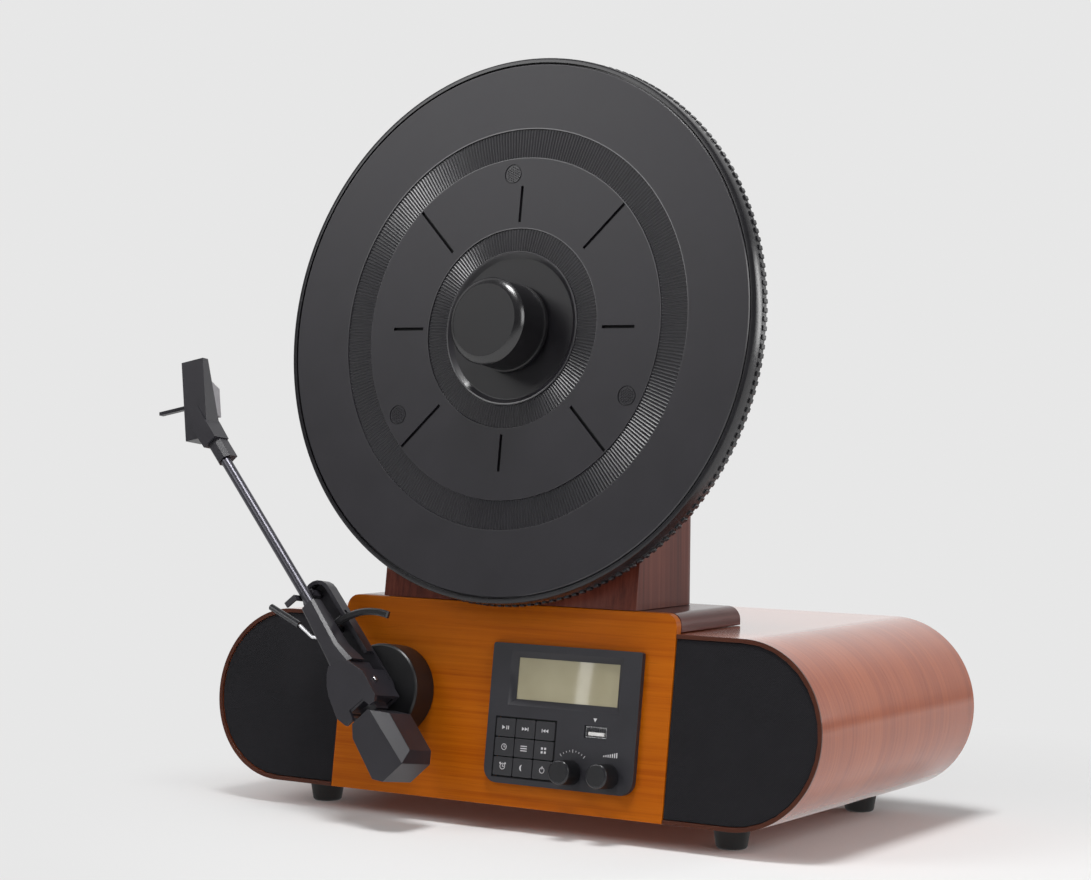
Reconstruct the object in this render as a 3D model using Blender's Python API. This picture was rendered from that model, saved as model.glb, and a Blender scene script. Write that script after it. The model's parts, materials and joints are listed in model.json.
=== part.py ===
"""A vertical record player: a wooden cabinet with a leaning front, a tower that carries the
platter upright, and a tonearm with its counterweight in front. Sizes are in metres.

Most pieces sit on the leaning front, so they are modelled in the front's own frame:
x to the right, y up the front from the floor line, z straight out of it."""
import math

import bmesh
import bpy
from mathutils import Matrix, Vector

# Fits that several pieces share
TOUCH_GAP = 0.0003
RUNNING_GAP = 0.0004
CUT_OVERRUN = 0.002
FAR = 0.5
LEAN = math.radians(7.6)
SMOOTH_ANGLE = math.radians(35)

# Cabinet: a bent sleeve with half-round ends
CABINET_HALF_STRAIGHT = 0.146
END_RADIUS = 0.0482
FOOT_HEIGHT = 0.0135
BACK_Y = 0.1964
SHELL_WALL = 0.009
FRONT_RIM = 0.0022
END_STEPS = 16
PANEL_HALF_WIDTH = 0.1069
PANEL_THICKNESS = 0.005
GRILLE_THICKNESS = 0.0042
GRILLE_SETBACK = 0.0008
BAFFLE_THICKNESS = 0.009
BACK_PANEL_THICKNESS = 0.006
BACK_PANEL_RECESS = 0.004
FOOT_TOP_RADIUS = 0.0102
FOOT_BOTTOM_RADIUS = 0.0082
FOOT_ROUNDING = 0.0010
FOOT_INSET = 0.0140
FOOT_X = CABINET_HALF_STRAIGHT - FOOT_INSET
FOOT_FRONT_Y = 0.0310
FOOT_REAR_INSET = 0.0154
FOOT_REAR_Y = BACK_Y - FOOT_REAR_INSET

# Plinth and tower behind the platter
PLINTH_HEIGHT = 0.0103
PLINTH_BACK_Y = 0.084
SHOULDER_RADIUS = 0.007
TOWER_HALF_WIDTH = 0.0817
TOWER_BACK_Y = 0.0816
TOWER_TOP_Z = 0.330
TOWER_CORNER_RADIUS = 0.012
TOWER_TOP_ROUNDING = 0.003
TOWER_WALL = 0.009

# Platter, mat and spindle
PLATTER_RADIUS = 0.150
PLATTER_CENTRE_UP = 0.2688
PLATTER_FRONT = 0.0182
PLATTER_THICKNESS = 0.0120
PLATTER_STEPS = 96
RIM_BAND_WIDTH = 0.0040
RIM_TOOTH_DEPTH = 0.0010
RIM_TOOTH_SHARE = 0.5
LIP_WIDTH = 0.0026
LIP_ROUNDING = 0.0007
MAT_THICKNESS = 0.0026
MAT_EDGE_GAP = 0.0008
MAT_EDGE_ROUNDING = 0.0005
LABEL_RADIUS = 0.0412
LABEL_FILLET = 0.0014
LABEL_DEPTH = 0.0012
INNER_RIBS = 48
INNER_RIB_RANGE = (0.0421, 0.0545)
OUTER_RIBS = 96
OUTER_RIB_RANGE = (0.0936, 0.1095)
RIB_VALLEY = 0.0010
RIB_CREST = 0.0003
SLOT_WIDTH = 0.0017
SLOT_DEPTH = 0.0012
LONG_SLOT_RANGE = (0.060, 0.093)
SHORT_SLOT_RANGE = (0.058, 0.078)
PAD_RADIUS = 0.0050
PAD_PLACE_RADIUS = 0.085
PAD_DEPTH = 0.0004
PAD_TURN = math.radians(94.5)
SPINDLE_RADIUS = 0.0040
SPINDLE_PIN_RADIUS = 0.0036
SPINDLE_TIP = 0.0270
SPINDLE_COLLAR_RADIUS = 0.009
SUB_PLATTER_RADIUS = 0.060
SUB_PLATTER_BACK = 0.0015
BEARING_RADIUS = 0.010
BEARING_FLANGE_RADIUS = 0.020
BEARING_FLANGE = 0.003
BEARING_DEPTH = 0.030
BEARING_FLOOR = 0.0035

# Motor, pulley and belt
MOTOR_X = 0.050
MOTOR_BELOW = 0.070
MOTOR_RADIUS = 0.015
MOTOR_LENGTH = 0.024
MOTOR_NOSE_RADIUS = 0.005
MOTOR_SHAFT_RADIUS = 0.0015
PULLEY_RADIUS = 0.006
BELT_THICKNESS = 0.0008
BELT_WIDTH = 0.0028

# Record clamp
CLAMP_RADIUS = 0.0236
CLAMP_FLANGE_RADIUS = 0.0243
CLAMP_FLANGE_HEIGHT = 0.0020
CLAMP_FRONT = 0.0440
CLAMP_CHAMFER = 0.0021
CLAMP_BORE_DEPTH = 0.0098

# Control fascia and what sits behind it
FASCIA_SIZE = (0.0930, 0.0745)
FASCIA_EDGE = 0.0169
FASCIA_UP = 0.0630
FASCIA_CENTRE = (PANEL_HALF_WIDTH - FASCIA_EDGE - FASCIA_SIZE[0] / 2, FASCIA_UP)
FASCIA_THICKNESS = 0.0030
FASCIA_LOWER_RADIUS = 0.008
FASCIA_UPPER_RADIUS = 0.0015
FASCIA_CUTOUT_MARGIN = 0.0032
LCD_OFFSET = (0.0003, 0.0189)
LCD_CENTRE = (FASCIA_CENTRE[0] + LCD_OFFSET[0], FASCIA_CENTRE[1] + LCD_OFFSET[1])
LCD_VIEW = (0.0630, 0.0222)
LCD_BEVEL = 0.0034
LCD_GLASS_THICKNESS = 0.0010
LCD_GLASS_MARGIN = 0.0015
LCD_MODULE_THICKNESS = 0.0050
LCD_MODULE_MARGIN = 0.0025
KEY_ROWS = 3
KEY_COLUMNS = 3
KEY_BLOCK_OFFSET = (-0.0219, -0.0180)
KEY_BLOCK_CENTRE = (FASCIA_CENTRE[0] + KEY_BLOCK_OFFSET[0], FASCIA_CENTRE[1] + KEY_BLOCK_OFFSET[1])
KEY_PITCH = (0.01255, 0.0103)
KEY_GAP = 0.00045
KEY_THICKNESS = 0.0040
KEY_TRAVEL = 0.0008
KEY_ROUNDING = 0.0006
USB_OFFSET = (0.0215, -0.0060)
USB_CENTRE = (FASCIA_CENTRE[0] + USB_OFFSET[0], FASCIA_CENTRE[1] + USB_OFFSET[1])
USB_SIZE = (0.0132, 0.0058)
USB_WALL = 0.0005
USB_DEPTH = 0.0140
USB_TONGUE = (0.0096, 0.0016)
USB_TONGUE_DROP = 0.0009
KNOB_DROP = 0.0280
KNOB_UP = FASCIA_CENTRE[1] - KNOB_DROP
KNOB_OFFSETS = (0.0084, 0.0315)
TUNE_X = FASCIA_CENTRE[0] + KNOB_OFFSETS[0]
VOLUME_X = FASCIA_CENTRE[0] + KNOB_OFFSETS[1]
KNOB_RADIUS = 0.0065
KNOB_FRONT = 0.0160
KNOB_CHAMFER = 0.0009
KNOB_LIFT = 0.0006
KNOB_STEM_RADIUS = 0.0031
KNOB_STEM_DEPTH = 0.0040
POT_RADIUS = 0.0055
BOARD_THICKNESS = 0.0016
BOARD_BACK = 0.0136
BOARD_MARGIN = 0.0042

# Speakers
SPEAKER_RADIUS = 0.036
SPEAKER_OUTWARD = 0.0005
SPEAKER_X = CABINET_HALF_STRAIGHT + SPEAKER_OUTWARD
SPEAKER_UP = 0.0655
SPEAKER_OPENING = 0.031
SPEAKER_DEPTH = 0.027
SPEAKER_MAGNET_RADIUS = 0.018

# Sockets on the back
SOCKET_UP = 0.058
DC_X = 0.070
LINE_OUT_X = 0.038
LINE_OUT_SPREAD = 0.014
LINE_OUT_BLOCK = (0.0300, 0.0130)
SOCKET_BODY = 0.012
DC_RADIUS = 0.0055
DC_BORE = 0.0031
DC_PIN = 0.0010
LINE_RADIUS = 0.0042
LINE_BORE = 0.0017
LINE_LENGTH = 0.0080
MAIN_BOARD_SIZE = (0.120, 0.056)
MAIN_BOARD_CENTRE = (0.040, 0.056)

# Tonearm base, rest plate, lift and lever
ARM_EDGE = 0.0399
ARM_X = ARM_EDGE - PANEL_HALF_WIDTH
ARM_UP = 0.0698
ARM_REST_ANGLE = math.radians(42.3)
ARM_AXIS_OUT = 0.0335
ARM_BASE_RADIUS = 0.025
ARM_BASE_HEIGHT = 0.0170
ARM_BASE_BEVEL = 0.0010
PLATE_HALF_WIDTH = 0.0100
PLATE_LENGTH = 0.0735
PLATE_TAIL = 0.0120
PLATE_FLOOR = 0.0020
PLATE_WALL = 0.0022
PLATE_WALL_HEIGHT = 0.0072
PLATE_WALL_START = 0.0160
CLIP_PLACE = 0.0660
CLIP_LENGTH = 0.0034
CLIP_WALL = 0.0014
CLIP_LIP = 0.0062
CLIP_WALL_TOP = 0.0035
CLIP_POST = (0.0060, 0.0044)
LIFT_RADIUS = 0.0415
LIFT_BAR_WIDTH = 0.0038
LIFT_BAR_THICKNESS = 0.0032
LIFT_ARC_START = math.radians(5)
LIFT_ARC_END = math.radians(-57)
LIFT_CLEARANCE = 0.0006
LIFT_POST_RADIUS = 0.0020
LIFT_POST_DROP = 0.0010
LEVER_PLACE = 0.0460
LEVER_ROD_RADIUS = 0.0010
LEVER_OUT = 0.0219
LEVER_INNER = 0.0060
LEVER_BEND = (0.0460, 0.0135)
LEVER_ELBOW = (0.0490, 0.0165)
LEVER_MIDDLE = (0.0606, 0.0198)
LEVER_END = (0.0800, 0.0288)
LEVER_GRIP_RADIUS = 0.0019
LEVER_GRIP_LENGTH = 0.0235

# Tonearm
YOKE_HALF_WIDTH = 0.0100
YOKE_CHEEK = 0.0024
YOKE_BASE = 0.0028
YOKE_REACH = (-0.0135, 0.0050)
TILT_BACK = 0.0020
YOKE_TOP = 0.0430
YOKE_SHAFT_RADIUS = 0.0040
YOKE_SHAFT_END = 0.0060
TILT_PIN_RADIUS = 0.0015
TILT_PIN_HEAD = 0.0006
HUB_SIDE_GAP = 0.0004
HUB_FRONT = 0.0122
HUB_BOTTOM = 0.0240
CAP_BACK = 0.0442
CAP_FRONT = 0.0466
CAP_LENGTH = 0.0345
CAP_WIDTH = 0.0275
CAP_OUTLINE_SHARES = (
    (0.470, 0.116), (0.336, -0.302), (-0.003, -0.484), (-0.443, -0.455), (-0.520, -0.367),
    (-0.507, -0.229), (-0.354, -0.160), (-0.339, 0.215), (-0.501, 0.262), (-0.496, 0.455),
    (-0.293, 0.549), (0.090, 0.455), (0.238, 0.375), (0.386, 0.244),
)
STEM_HALF_WIDTH = 0.0053
STEM_BLOCK_END = 0.0180
STEM_ROD_RADIUS = 0.0040
STEM_END = 0.0460
CARRIER_MIDDLE = 0.0260
CARRIER_END = 0.0580
CARRIER_SIDES = ((-0.0090, 0.0060), (-0.0056, 0.0054), (-0.0048, 0.0050))
CARRIER_TOPS = (0.0100, 0.0082, 0.0046)
TUBE_RADIUS = 0.0030
TUBE_START = 0.0450
TUBE_END = 0.1750
TUBE_FIT = 0.0003
WEIGHT_START = 0.0185
WEIGHT_LENGTH = 0.0370
WEIGHT_WIDTH = 0.0260
WEIGHT_SIDE = 0.0023
WEIGHT_HALF_HEIGHT = 0.0128
WEIGHT_OUTLINE_SHARES = (
    (0.000, -0.238), (0.000, 0.250), (0.176, 0.412), (0.857, 0.500), (1.000, 0.323), (1.000, -0.281),
    (0.857, -0.469), (0.203, -0.500),
)
WEIGHT_CHAMFER = 0.0062
WEIGHT_BORE_END = 0.0500
HEAD_ANGLE = math.radians(-31)
HEAD_CENTRE = (0.2052, -0.0058)
HEAD_SIZE = (0.0465, 0.0160)
HEAD_FRONT = 0.0055
HEAD_DEPTHS = (0.0130, 0.0046)
HEAD_WALL = 0.0015
SLEEVE_START = 0.1645
SLEEVE_LENGTH = 0.0140
SLEEVE_HALF_WIDTH = 0.0045
SLEEVE_BACK = 0.0062
SLEEVE_FRONT = 0.0037
SLEEVE_CHAMFER = (0.0021, 0.0031)
NECK_STATIONS = (0.1775, 0.1890, 0.2030)
NECK_SIDES = ((-0.0052, 0.0048), (-0.0056, 0.0048), (-0.0058, 0.0010))
NECK_BACKS = (0.0066, 0.0068, 0.0050)
NECK_FRONTS = (0.0056, 0.0064, 0.0054)
CARTRIDGE_LENGTH = 0.0200
CARTRIDGE_FORWARD = 0.0005
CARTRIDGE_WIDTHS = (0.0122, 0.0154)
CARTRIDGE_SKIRT_GAP = 0.0004
CARTRIDGE_BACK = 0.0104
CARTRIDGE_NOSE = 0.0030
STYLUS_BASE = 0.0045
STYLUS_TIP = 0.0009
STYLUS_LENGTH = 0.0018
STYLUS_FORWARD = 0.0060
FINGER_LENGTH = 0.0195
FINGER_THICKNESS = 0.0020
FINGER_WIDTH = 0.0034
FINGER_BACKWARD = 0.0032
FINGER_OUT = 0.0030


def material(name, colour, roughness, metallic=0.0):
    """A plain Principled material in the piece's own colour."""
    made = bpy.data.materials.new(name)
    made.use_nodes = True
    shader = made.node_tree.nodes["Principled BSDF"]
    shader.inputs["Base Color"].default_value = (*colour, 1.0)
    shader.inputs["Roughness"].default_value = roughness
    shader.inputs["Metallic"].default_value = metallic
    made.diffuse_color = (*colour, 1.0)
    return made


def empty(name, parent=None, at=(0, 0, 0), turn=(0, 0, 0)):
    """A frame that other pieces are placed in."""
    made = bpy.data.objects.new(name, None)
    bpy.context.scene.collection.objects.link(made)
    made.parent = parent
    made.location = at
    made.rotation_euler = turn
    return made


def smooth_curves(bm):
    """Smooth shading only where a face bends gently into a neighbour, so that flat faces stay flat."""
    for face in bm.faces:
        joints = [edge for edge in face.edges if len(edge.link_faces) == 2]
        face.smooth = any(0 < edge.calc_face_angle() < SMOOTH_ANGLE for edge in joints)


def add(name, bm, finish, parent, at=(0, 0, 0), turn=(0, 0, 0)):
    """Turns a bmesh into a named object of its own, placed in its parent's frame."""
    bmesh.ops.recalc_face_normals(bm, faces=bm.faces)
    smooth_curves(bm)
    mesh = bpy.data.meshes.new(name)
    bm.to_mesh(mesh)
    bm.free()
    mesh.set_sharp_from_angle(angle=SMOOTH_ANGLE)
    if finish:
        mesh.materials.append(finish)
    made = bpy.data.objects.new(name, mesh)
    bpy.context.scene.collection.objects.link(made)
    made.parent = parent
    made.location = at
    made.rotation_euler = turn
    return made


def shape_with(target, bm, operation="DIFFERENCE", at=(0, 0, 0), turn=(0, 0, 0), parent=None):
    """Cuts a helper shape from a piece, or joins it on. It sits in the piece's parent's frame."""
    helper = add(f"helper_{len(bpy.data.objects)}", bm, None, parent or target.parent, at, turn)
    helper.hide_render = True
    helper.display_type = "WIRE"
    modifier = target.modifiers.new(operation.title(), "BOOLEAN")
    modifier.operation = operation
    modifier.object = helper
    return target


def turned(profile, steps=32):
    """A body of revolution round z, from (radius, height) points. It may touch the axis."""
    bm = bmesh.new()
    points = [bm.verts.new((radius, 0, height)) for radius, height in profile]
    edges = [bm.edges.new(pair) for pair in zip(points, points[1:])]
    if profile[0][0] or profile[-1][0]:
        edges.append(bm.edges.new((points[-1], points[0])))
    bmesh.ops.spin(
        bm, geom=points + edges, cent=(0, 0, 0), axis=(0, 0, 1), angle=math.tau, steps=steps, use_merge=True
    )
    bmesh.ops.remove_doubles(bm, verts=bm.verts, dist=TOUCH_GAP / 100)
    return bm


def prism(outline, low, high):
    """An outline in x and y, extruded from low to high along z."""
    bm = bmesh.new()
    face = bm.faces.new([bm.verts.new((x, y, low)) for x, y in outline])
    made = bmesh.ops.extrude_face_region(bm, geom=[face])
    top = [item for item in made["geom"] if isinstance(item, bmesh.types.BMVert)]
    bmesh.ops.translate(bm, verts=top, vec=(0, 0, high - low))
    return bm


def block(x_range, y_range, z_range):
    """A rectangular block between three pairs of limits."""
    corners = [(x_range[0], y_range[0]), (x_range[1], y_range[0])]
    corners += [(x_range[1], y_range[1]), (x_range[0], y_range[1])]
    return prism(corners, z_range[0], z_range[1])


def centred(middle, size):
    """The limits of a span of the given size about a middle."""
    return middle - size / 2, middle + size / 2


def loft(*outlines):
    """A body through two or more outlines of as many points, each given in x, y and z."""
    bm = bmesh.new()
    rings = [[bm.verts.new(point) for point in ring] for ring in outlines]
    for lower, upper in zip(rings, rings[1:]):
        for place in range(len(lower)):
            bm.faces.new((lower[place - 1], lower[place], upper[place], upper[place - 1]))
    bm.faces.new(rings[0])
    bm.faces.new(rings[-1])
    return bm


def rectangle(x_range, y_range, z):
    """The four corners of a rectangle at one height."""
    (left, right), (low, high) = x_range, y_range
    return [(left, low, z), (right, low, z), (right, high, z), (left, high, z)]


def joined(*shapes):
    """Several closed shapes in one bmesh, for a helper that cuts them all at once."""
    whole = bmesh.new()
    for shape in shapes:
        mesh = bpy.data.meshes.new("shape")
        shape.to_mesh(mesh)
        shape.free()
        whole.from_mesh(mesh)
        bpy.data.meshes.remove(mesh)
    return whole


def moved(bm, matrix):
    """The same bmesh, moved or turned."""
    bmesh.ops.transform(bm, matrix=matrix, verts=bm.verts)
    return bm


def arc(centre, radius, start, end, steps):
    """Points along an arc, both ends included."""
    angles = [start + (end - start) * step / steps for step in range(steps + 1)]
    return [(centre[0] + radius * math.cos(a), centre[1] + radius * math.sin(a)) for a in angles]


def rounded_rectangle(x_range, y_range, lower_radius, upper_radius, steps=5):
    """A rectangle's outline with its two lower and two upper corners rounded."""
    (left, right), (low, high) = x_range, y_range
    corners = (
        (right - lower_radius, low + lower_radius, lower_radius, -math.pi / 2),
        (right - upper_radius, high - upper_radius, upper_radius, 0),
        (left + upper_radius, high - upper_radius, upper_radius, math.pi / 2),
        (left + lower_radius, low + lower_radius, lower_radius, math.pi),
    )
    outline = []
    for x, y, radius, start in corners:
        outline += arc((x, y), radius, start, start + math.pi / 2, steps) if radius else [(x, y)]
    return outline


def stadium(inset=0.0):
    """The cabinet's end view, x across and z up, drawn in by an inset."""
    radius = END_RADIUS - inset
    middle = FOOT_HEIGHT + END_RADIUS
    right = arc((CABINET_HALF_STRAIGHT, middle), radius, -math.pi / 2, math.pi / 2, END_STEPS)
    left = arc((-CABINET_HALF_STRAIGHT, middle), radius, math.pi / 2, math.pi * 3 / 2, END_STEPS)
    return right + left


def trimmed(bm, point, normal):
    """The bmesh with what lies past a plane cut away, and the cut closed."""
    geom = bm.verts[:] + bm.edges[:] + bm.faces[:]
    cut = bmesh.ops.bisect_plane(bm, geom=geom, plane_co=point, plane_no=normal, clear_outer=True)
    edges = [item for item in cut["geom_cut"] if isinstance(item, bmesh.types.BMEdge)]
    bmesh.ops.holes_fill(bm, edges=edges, sides=0)
    return bm


def out_of_front():
    """The direction straight out of the leaning front."""
    return Vector((0, -math.cos(LEAN), math.sin(LEAN)))


def slab(outline, front=None, back=None, back_y=None):
    """An x and z outline run from front to back, between planes that lie parallel to the front."""
    bm = moved(prism(outline, -FAR, FAR), Matrix.Rotation(math.pi / 2, 4, "X"))
    if front is not None:
        trimmed(bm, out_of_front() * front, out_of_front())
    if back is not None:
        trimmed(bm, out_of_front() * back, -out_of_front())
    if back_y is not None:
        trimmed(bm, Vector((0, back_y, 0)), Vector((0, 1, 0)))
    return bm


def cabinet_top():
    return FOOT_HEIGHT + 2 * END_RADIUS


def plinth_top():
    return cabinet_top() + PLINTH_HEIGHT


def rebate_depth():
    return PANEL_THICKNESS + TOUCH_GAP


def add_cabinet(root, wood):
    """The sleeve: open at both ends, with a rebate in front for the panel and the grilles."""
    shell = add("cabinet_shell", slab(stadium(), front=0, back_y=BACK_Y), wood, root)
    shape_with(shell, slab(stadium(SHELL_WALL)))
    shape_with(shell, slab(stadium(FRONT_RIM), front=CUT_OVERRUN, back=-rebate_depth()))
    across = centred(0, 2 * (PANEL_HALF_WIDTH + TOUCH_GAP))
    upright = (-FAR / 2, FAR / 2)
    corners = [(across[0], upright[0]), (across[1], upright[0])]
    corners += [(across[1], upright[1]), (across[0], upright[1])]
    shape_with(shell, slab(corners, front=CUT_OVERRUN, back=-rebate_depth()))


def add_front_panel(root, wood, front):
    """The honey-coloured centre board, which also faces the plinth above the sleeve."""
    across = centred(0, 2 * PANEL_HALF_WIDTH)
    outline = rounded_rectangle(across, (FOOT_HEIGHT, plinth_top()), 0, SHOULDER_RADIUS)
    panel = add("front_panel", slab(outline, front=0, back=-PANEL_THICKNESS), wood, root)
    shape_with(panel, fascia_cutout(-PANEL_THICKNESS - CUT_OVERRUN, CUT_OVERRUN), parent=front)


def fascia_cutout(low, high):
    """The window behind the fascia, with room for the boards and sockets."""
    spans = [
        centred(middle, size - 2 * FASCIA_CUTOUT_MARGIN)
        for middle, size in zip(FASCIA_CENTRE, FASCIA_SIZE)
    ]
    return block(spans[0], spans[1], (low, high))


def add_grilles(root, cloth):
    """A cloth-covered board in each half-round end."""
    inner = PANEL_HALF_WIDTH + TOUCH_GAP
    for name, side in (("grille_left", -1), ("grille_right", 1)):
        board = slab(
            stadium(FRONT_RIM + TOUCH_GAP), front=-GRILLE_SETBACK, back=-GRILLE_SETBACK - GRILLE_THICKNESS
        )
        trimmed(board, Vector((side * inner, 0, 0)), Vector((-side, 0, 0)))
        add(name, board, cloth, root)


def add_baffle(root, board_finish, front):
    """The board behind the grilles that the two speakers are fixed to."""
    face = -rebate_depth() - TOUCH_GAP
    rear = face - BAFFLE_THICKNESS
    baffle = add("baffle", slab(stadium(SHELL_WALL + TOUCH_GAP), front=face, back=rear), board_finish, root)
    openings = [fascia_cutout(rear - CUT_OVERRUN, face + CUT_OVERRUN)]
    for side in (-1, 1):
        hole = turned([(0, rear - CUT_OVERRUN), (SPEAKER_OPENING, rear - CUT_OVERRUN),
                       (SPEAKER_OPENING, face + CUT_OVERRUN), (0, face + CUT_OVERRUN)])
        openings.append(moved(hole, Matrix.Translation((side * SPEAKER_X, SPEAKER_UP, 0))))
    shape_with(baffle, joined(*openings), parent=front)
    return rear


def speaker_profile(seat):
    """Half of a driver's section: flange, surround, cone, dust cap, basket and magnet."""
    flange = SPEAKER_OPENING / 20
    back = seat - SPEAKER_DEPTH
    cap = SPEAKER_MAGNET_RADIUS * 0.45
    return [
        (0, seat - SPEAKER_DEPTH * 0.36), (cap * 0.7, seat - SPEAKER_DEPTH * 0.40),
        (cap, seat - SPEAKER_DEPTH * 0.50), (SPEAKER_OPENING * 0.84, seat - flange),
        (SPEAKER_OPENING * 0.89, seat - flange * 0.2), (SPEAKER_OPENING * 0.95, seat - flange * 0.4),
        (SPEAKER_OPENING, seat), (SPEAKER_RADIUS, seat), (SPEAKER_RADIUS, seat - flange),
        (SPEAKER_OPENING, seat - flange * 2), (SPEAKER_MAGNET_RADIUS * 0.9, back * 0.55 + seat * 0.45),
        (SPEAKER_MAGNET_RADIUS, back * 0.6 + seat * 0.4), (SPEAKER_MAGNET_RADIUS, back), (0, back),
    ]


def add_speakers(front, finish, baffle_rear):
    for name, side in (("speaker_left", -1), ("speaker_right", 1)):
        driver = turned(speaker_profile(baffle_rear - TOUCH_GAP), 24)
        add(name, driver, finish, front, at=(side * SPEAKER_X, SPEAKER_UP, 0))


def back_face():
    return BACK_Y - BACK_PANEL_RECESS


def add_back(root, board_finish, metal, black, green):
    """The rear board, its inlet and line sockets, and the main circuit board that carries them."""
    inner = back_face() - BACK_PANEL_THICKNESS
    outline = slab(stadium(SHELL_WALL + TOUCH_GAP), back_y=back_face())
    trimmed(outline, Vector((0, inner, 0)), Vector((0, -1, 0)))
    board = add("back_panel", outline, board_finish, root)
    line_places = centred(0, LINE_OUT_SPREAD)
    facing_back = (-math.pi / 2, 0, 0)
    holes = []
    for x, radius in [(DC_X, DC_RADIUS)] + [(LINE_OUT_X + x, LINE_RADIUS) for x in line_places]:
        hole = prism(arc((0, 0), radius + TOUCH_GAP, 0, math.tau * 23 / 24, 23), inner - FAR / 10, BACK_Y)
        turn = Matrix.Rotation(-math.pi / 2, 4, "X")
        holes.append(moved(hole, Matrix.Translation((x, 0, SOCKET_UP)) @ turn))
    shape_with(board, joined(*holes))
    add("dc_inlet", socket(DC_RADIUS, DC_BORE, DC_PIN), black, root, (DC_X, inner, SOCKET_UP), facing_back)
    spans = [centred(0, size) for size in LINE_OUT_BLOCK]
    body = block(spans[0], spans[1], (-SOCKET_BODY, -TOUCH_GAP))
    line_out = add("line_out", body, metal, root, (LINE_OUT_X, inner, SOCKET_UP), facing_back)
    for x in line_places:
        place = (LINE_OUT_X + x, inner, SOCKET_UP)
        inside = -SOCKET_BODY / 2
        barrel = [(0, inside), (LINE_RADIUS, inside), (LINE_RADIUS, line_face()), (0, line_face())]
        shape_with(line_out, turned(barrel, 20), "UNION", place, facing_back)
        bore = [(0, -SOCKET_BODY / 3), (LINE_BORE, -SOCKET_BODY / 3), (LINE_BORE, BACK_Y), (0, BACK_Y)]
        shape_with(line_out, turned(bore, 16), "DIFFERENCE", place, facing_back)
    seat = inner - SOCKET_BODY - TOUCH_GAP
    spans = [centred(middle, size) for middle, size in zip(MAIN_BOARD_CENTRE, MAIN_BOARD_SIZE)]
    circuit = block(spans[0], (seat - BOARD_THICKNESS, seat), spans[1])
    add("main_board", circuit, green, root)


def line_face():
    return BACK_PANEL_THICKNESS + LINE_LENGTH


def socket(radius, bore, pin):
    """A round socket that reaches through the rear board, from its solder side outward."""
    face = BACK_PANEL_THICKNESS
    shoulder = radius * 1.4
    profile = [(0, -SOCKET_BODY), (shoulder, -SOCKET_BODY), (shoulder, -TOUCH_GAP), (radius, -TOUCH_GAP)]
    profile += [(radius, face), (bore, face)]
    floor = -SOCKET_BODY * 0.3
    profile += [(bore, floor), (pin, floor), (pin, face - pin), (0, face - pin)]
    return turned(profile, 24)


def add_feet(root, rubber):
    top = FOOT_HEIGHT - TOUCH_GAP
    profile = [(0, 0), (FOOT_BOTTOM_RADIUS - FOOT_ROUNDING, 0), (FOOT_BOTTOM_RADIUS, FOOT_ROUNDING)]
    profile += [(FOOT_TOP_RADIUS, top), (0, top)]
    for depth, y in (("front", FOOT_FRONT_Y), ("rear", FOOT_REAR_Y)):
        for side, x in (("left", -FOOT_X), ("right", FOOT_X)):
            add(f"foot_{depth}_{side}", turned(profile, 24), rubber, root, at=(x, y, 0))


def add_plinth(root, wood):
    """The low block with rounded shoulders that the tower stands on."""
    across = centred(0, 2 * PANEL_HALF_WIDTH)
    outline = rounded_rectangle(across, (cabinet_top() + TOUCH_GAP, plinth_top()), 0, SHOULDER_RADIUS)
    body = slab(outline, front=-PANEL_THICKNESS - TOUCH_GAP, back_y=PLINTH_BACK_Y)
    add("tower_plinth", body, wood, root)


def tower_plan(inset):
    """The tower seen from above: a straight front and two rounded back corners."""
    across = centred(0, 2 * (TOWER_HALF_WIDTH - inset))
    radius = TOWER_CORNER_RADIUS - inset
    return rounded_rectangle(across, (-FAR / 10, TOWER_BACK_Y - inset), 0, radius)


def add_tower(root, wood, front):
    """A hollow wedge: upright at the back, leaning in front, open where it stands on the plinth."""
    low = plinth_top() + TOUCH_GAP
    body = trimmed(prism(tower_plan(0), low, TOWER_TOP_Z), Vector(), out_of_front())
    rim = [edge for edge in body.edges if all(vert.co.z > TOWER_TOP_Z - TOUCH_GAP for vert in edge.verts)]
    bmesh.ops.bevel(body, geom=rim, offset=TOWER_TOP_ROUNDING, segments=3, profile=0.5, affect="EDGES",
                    material=-1)
    tower = add("tower", body, wood, root)
    inner = prism(tower_plan(TOWER_WALL), low - CUT_OVERRUN, TOWER_TOP_Z - TOWER_WALL)
    shape_with(tower, trimmed(inner, out_of_front() * -TOWER_WALL, out_of_front()))
    holes = []
    for x, up, radius in ((0, PLATTER_CENTRE_UP, BEARING_RADIUS), (*motor_place(), MOTOR_NOSE_RADIUS)):
        circle = arc((x, up), radius + TOUCH_GAP, 0, math.tau * 31 / 32, 31)
        holes.append(prism(circle, -TOWER_WALL - CUT_OVERRUN, CUT_OVERRUN))
    shape_with(tower, joined(*holes), parent=front)


def motor_place():
    return MOTOR_X, PLATTER_CENTRE_UP - MOTOR_BELOW


def platter_back():
    return PLATTER_FRONT - PLATTER_THICKNESS


def mat_seat():
    return PLATTER_FRONT - MAT_THICKNESS - TOUCH_GAP


def spindle_bore():
    return SPINDLE_RADIUS + TOUCH_GAP


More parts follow.
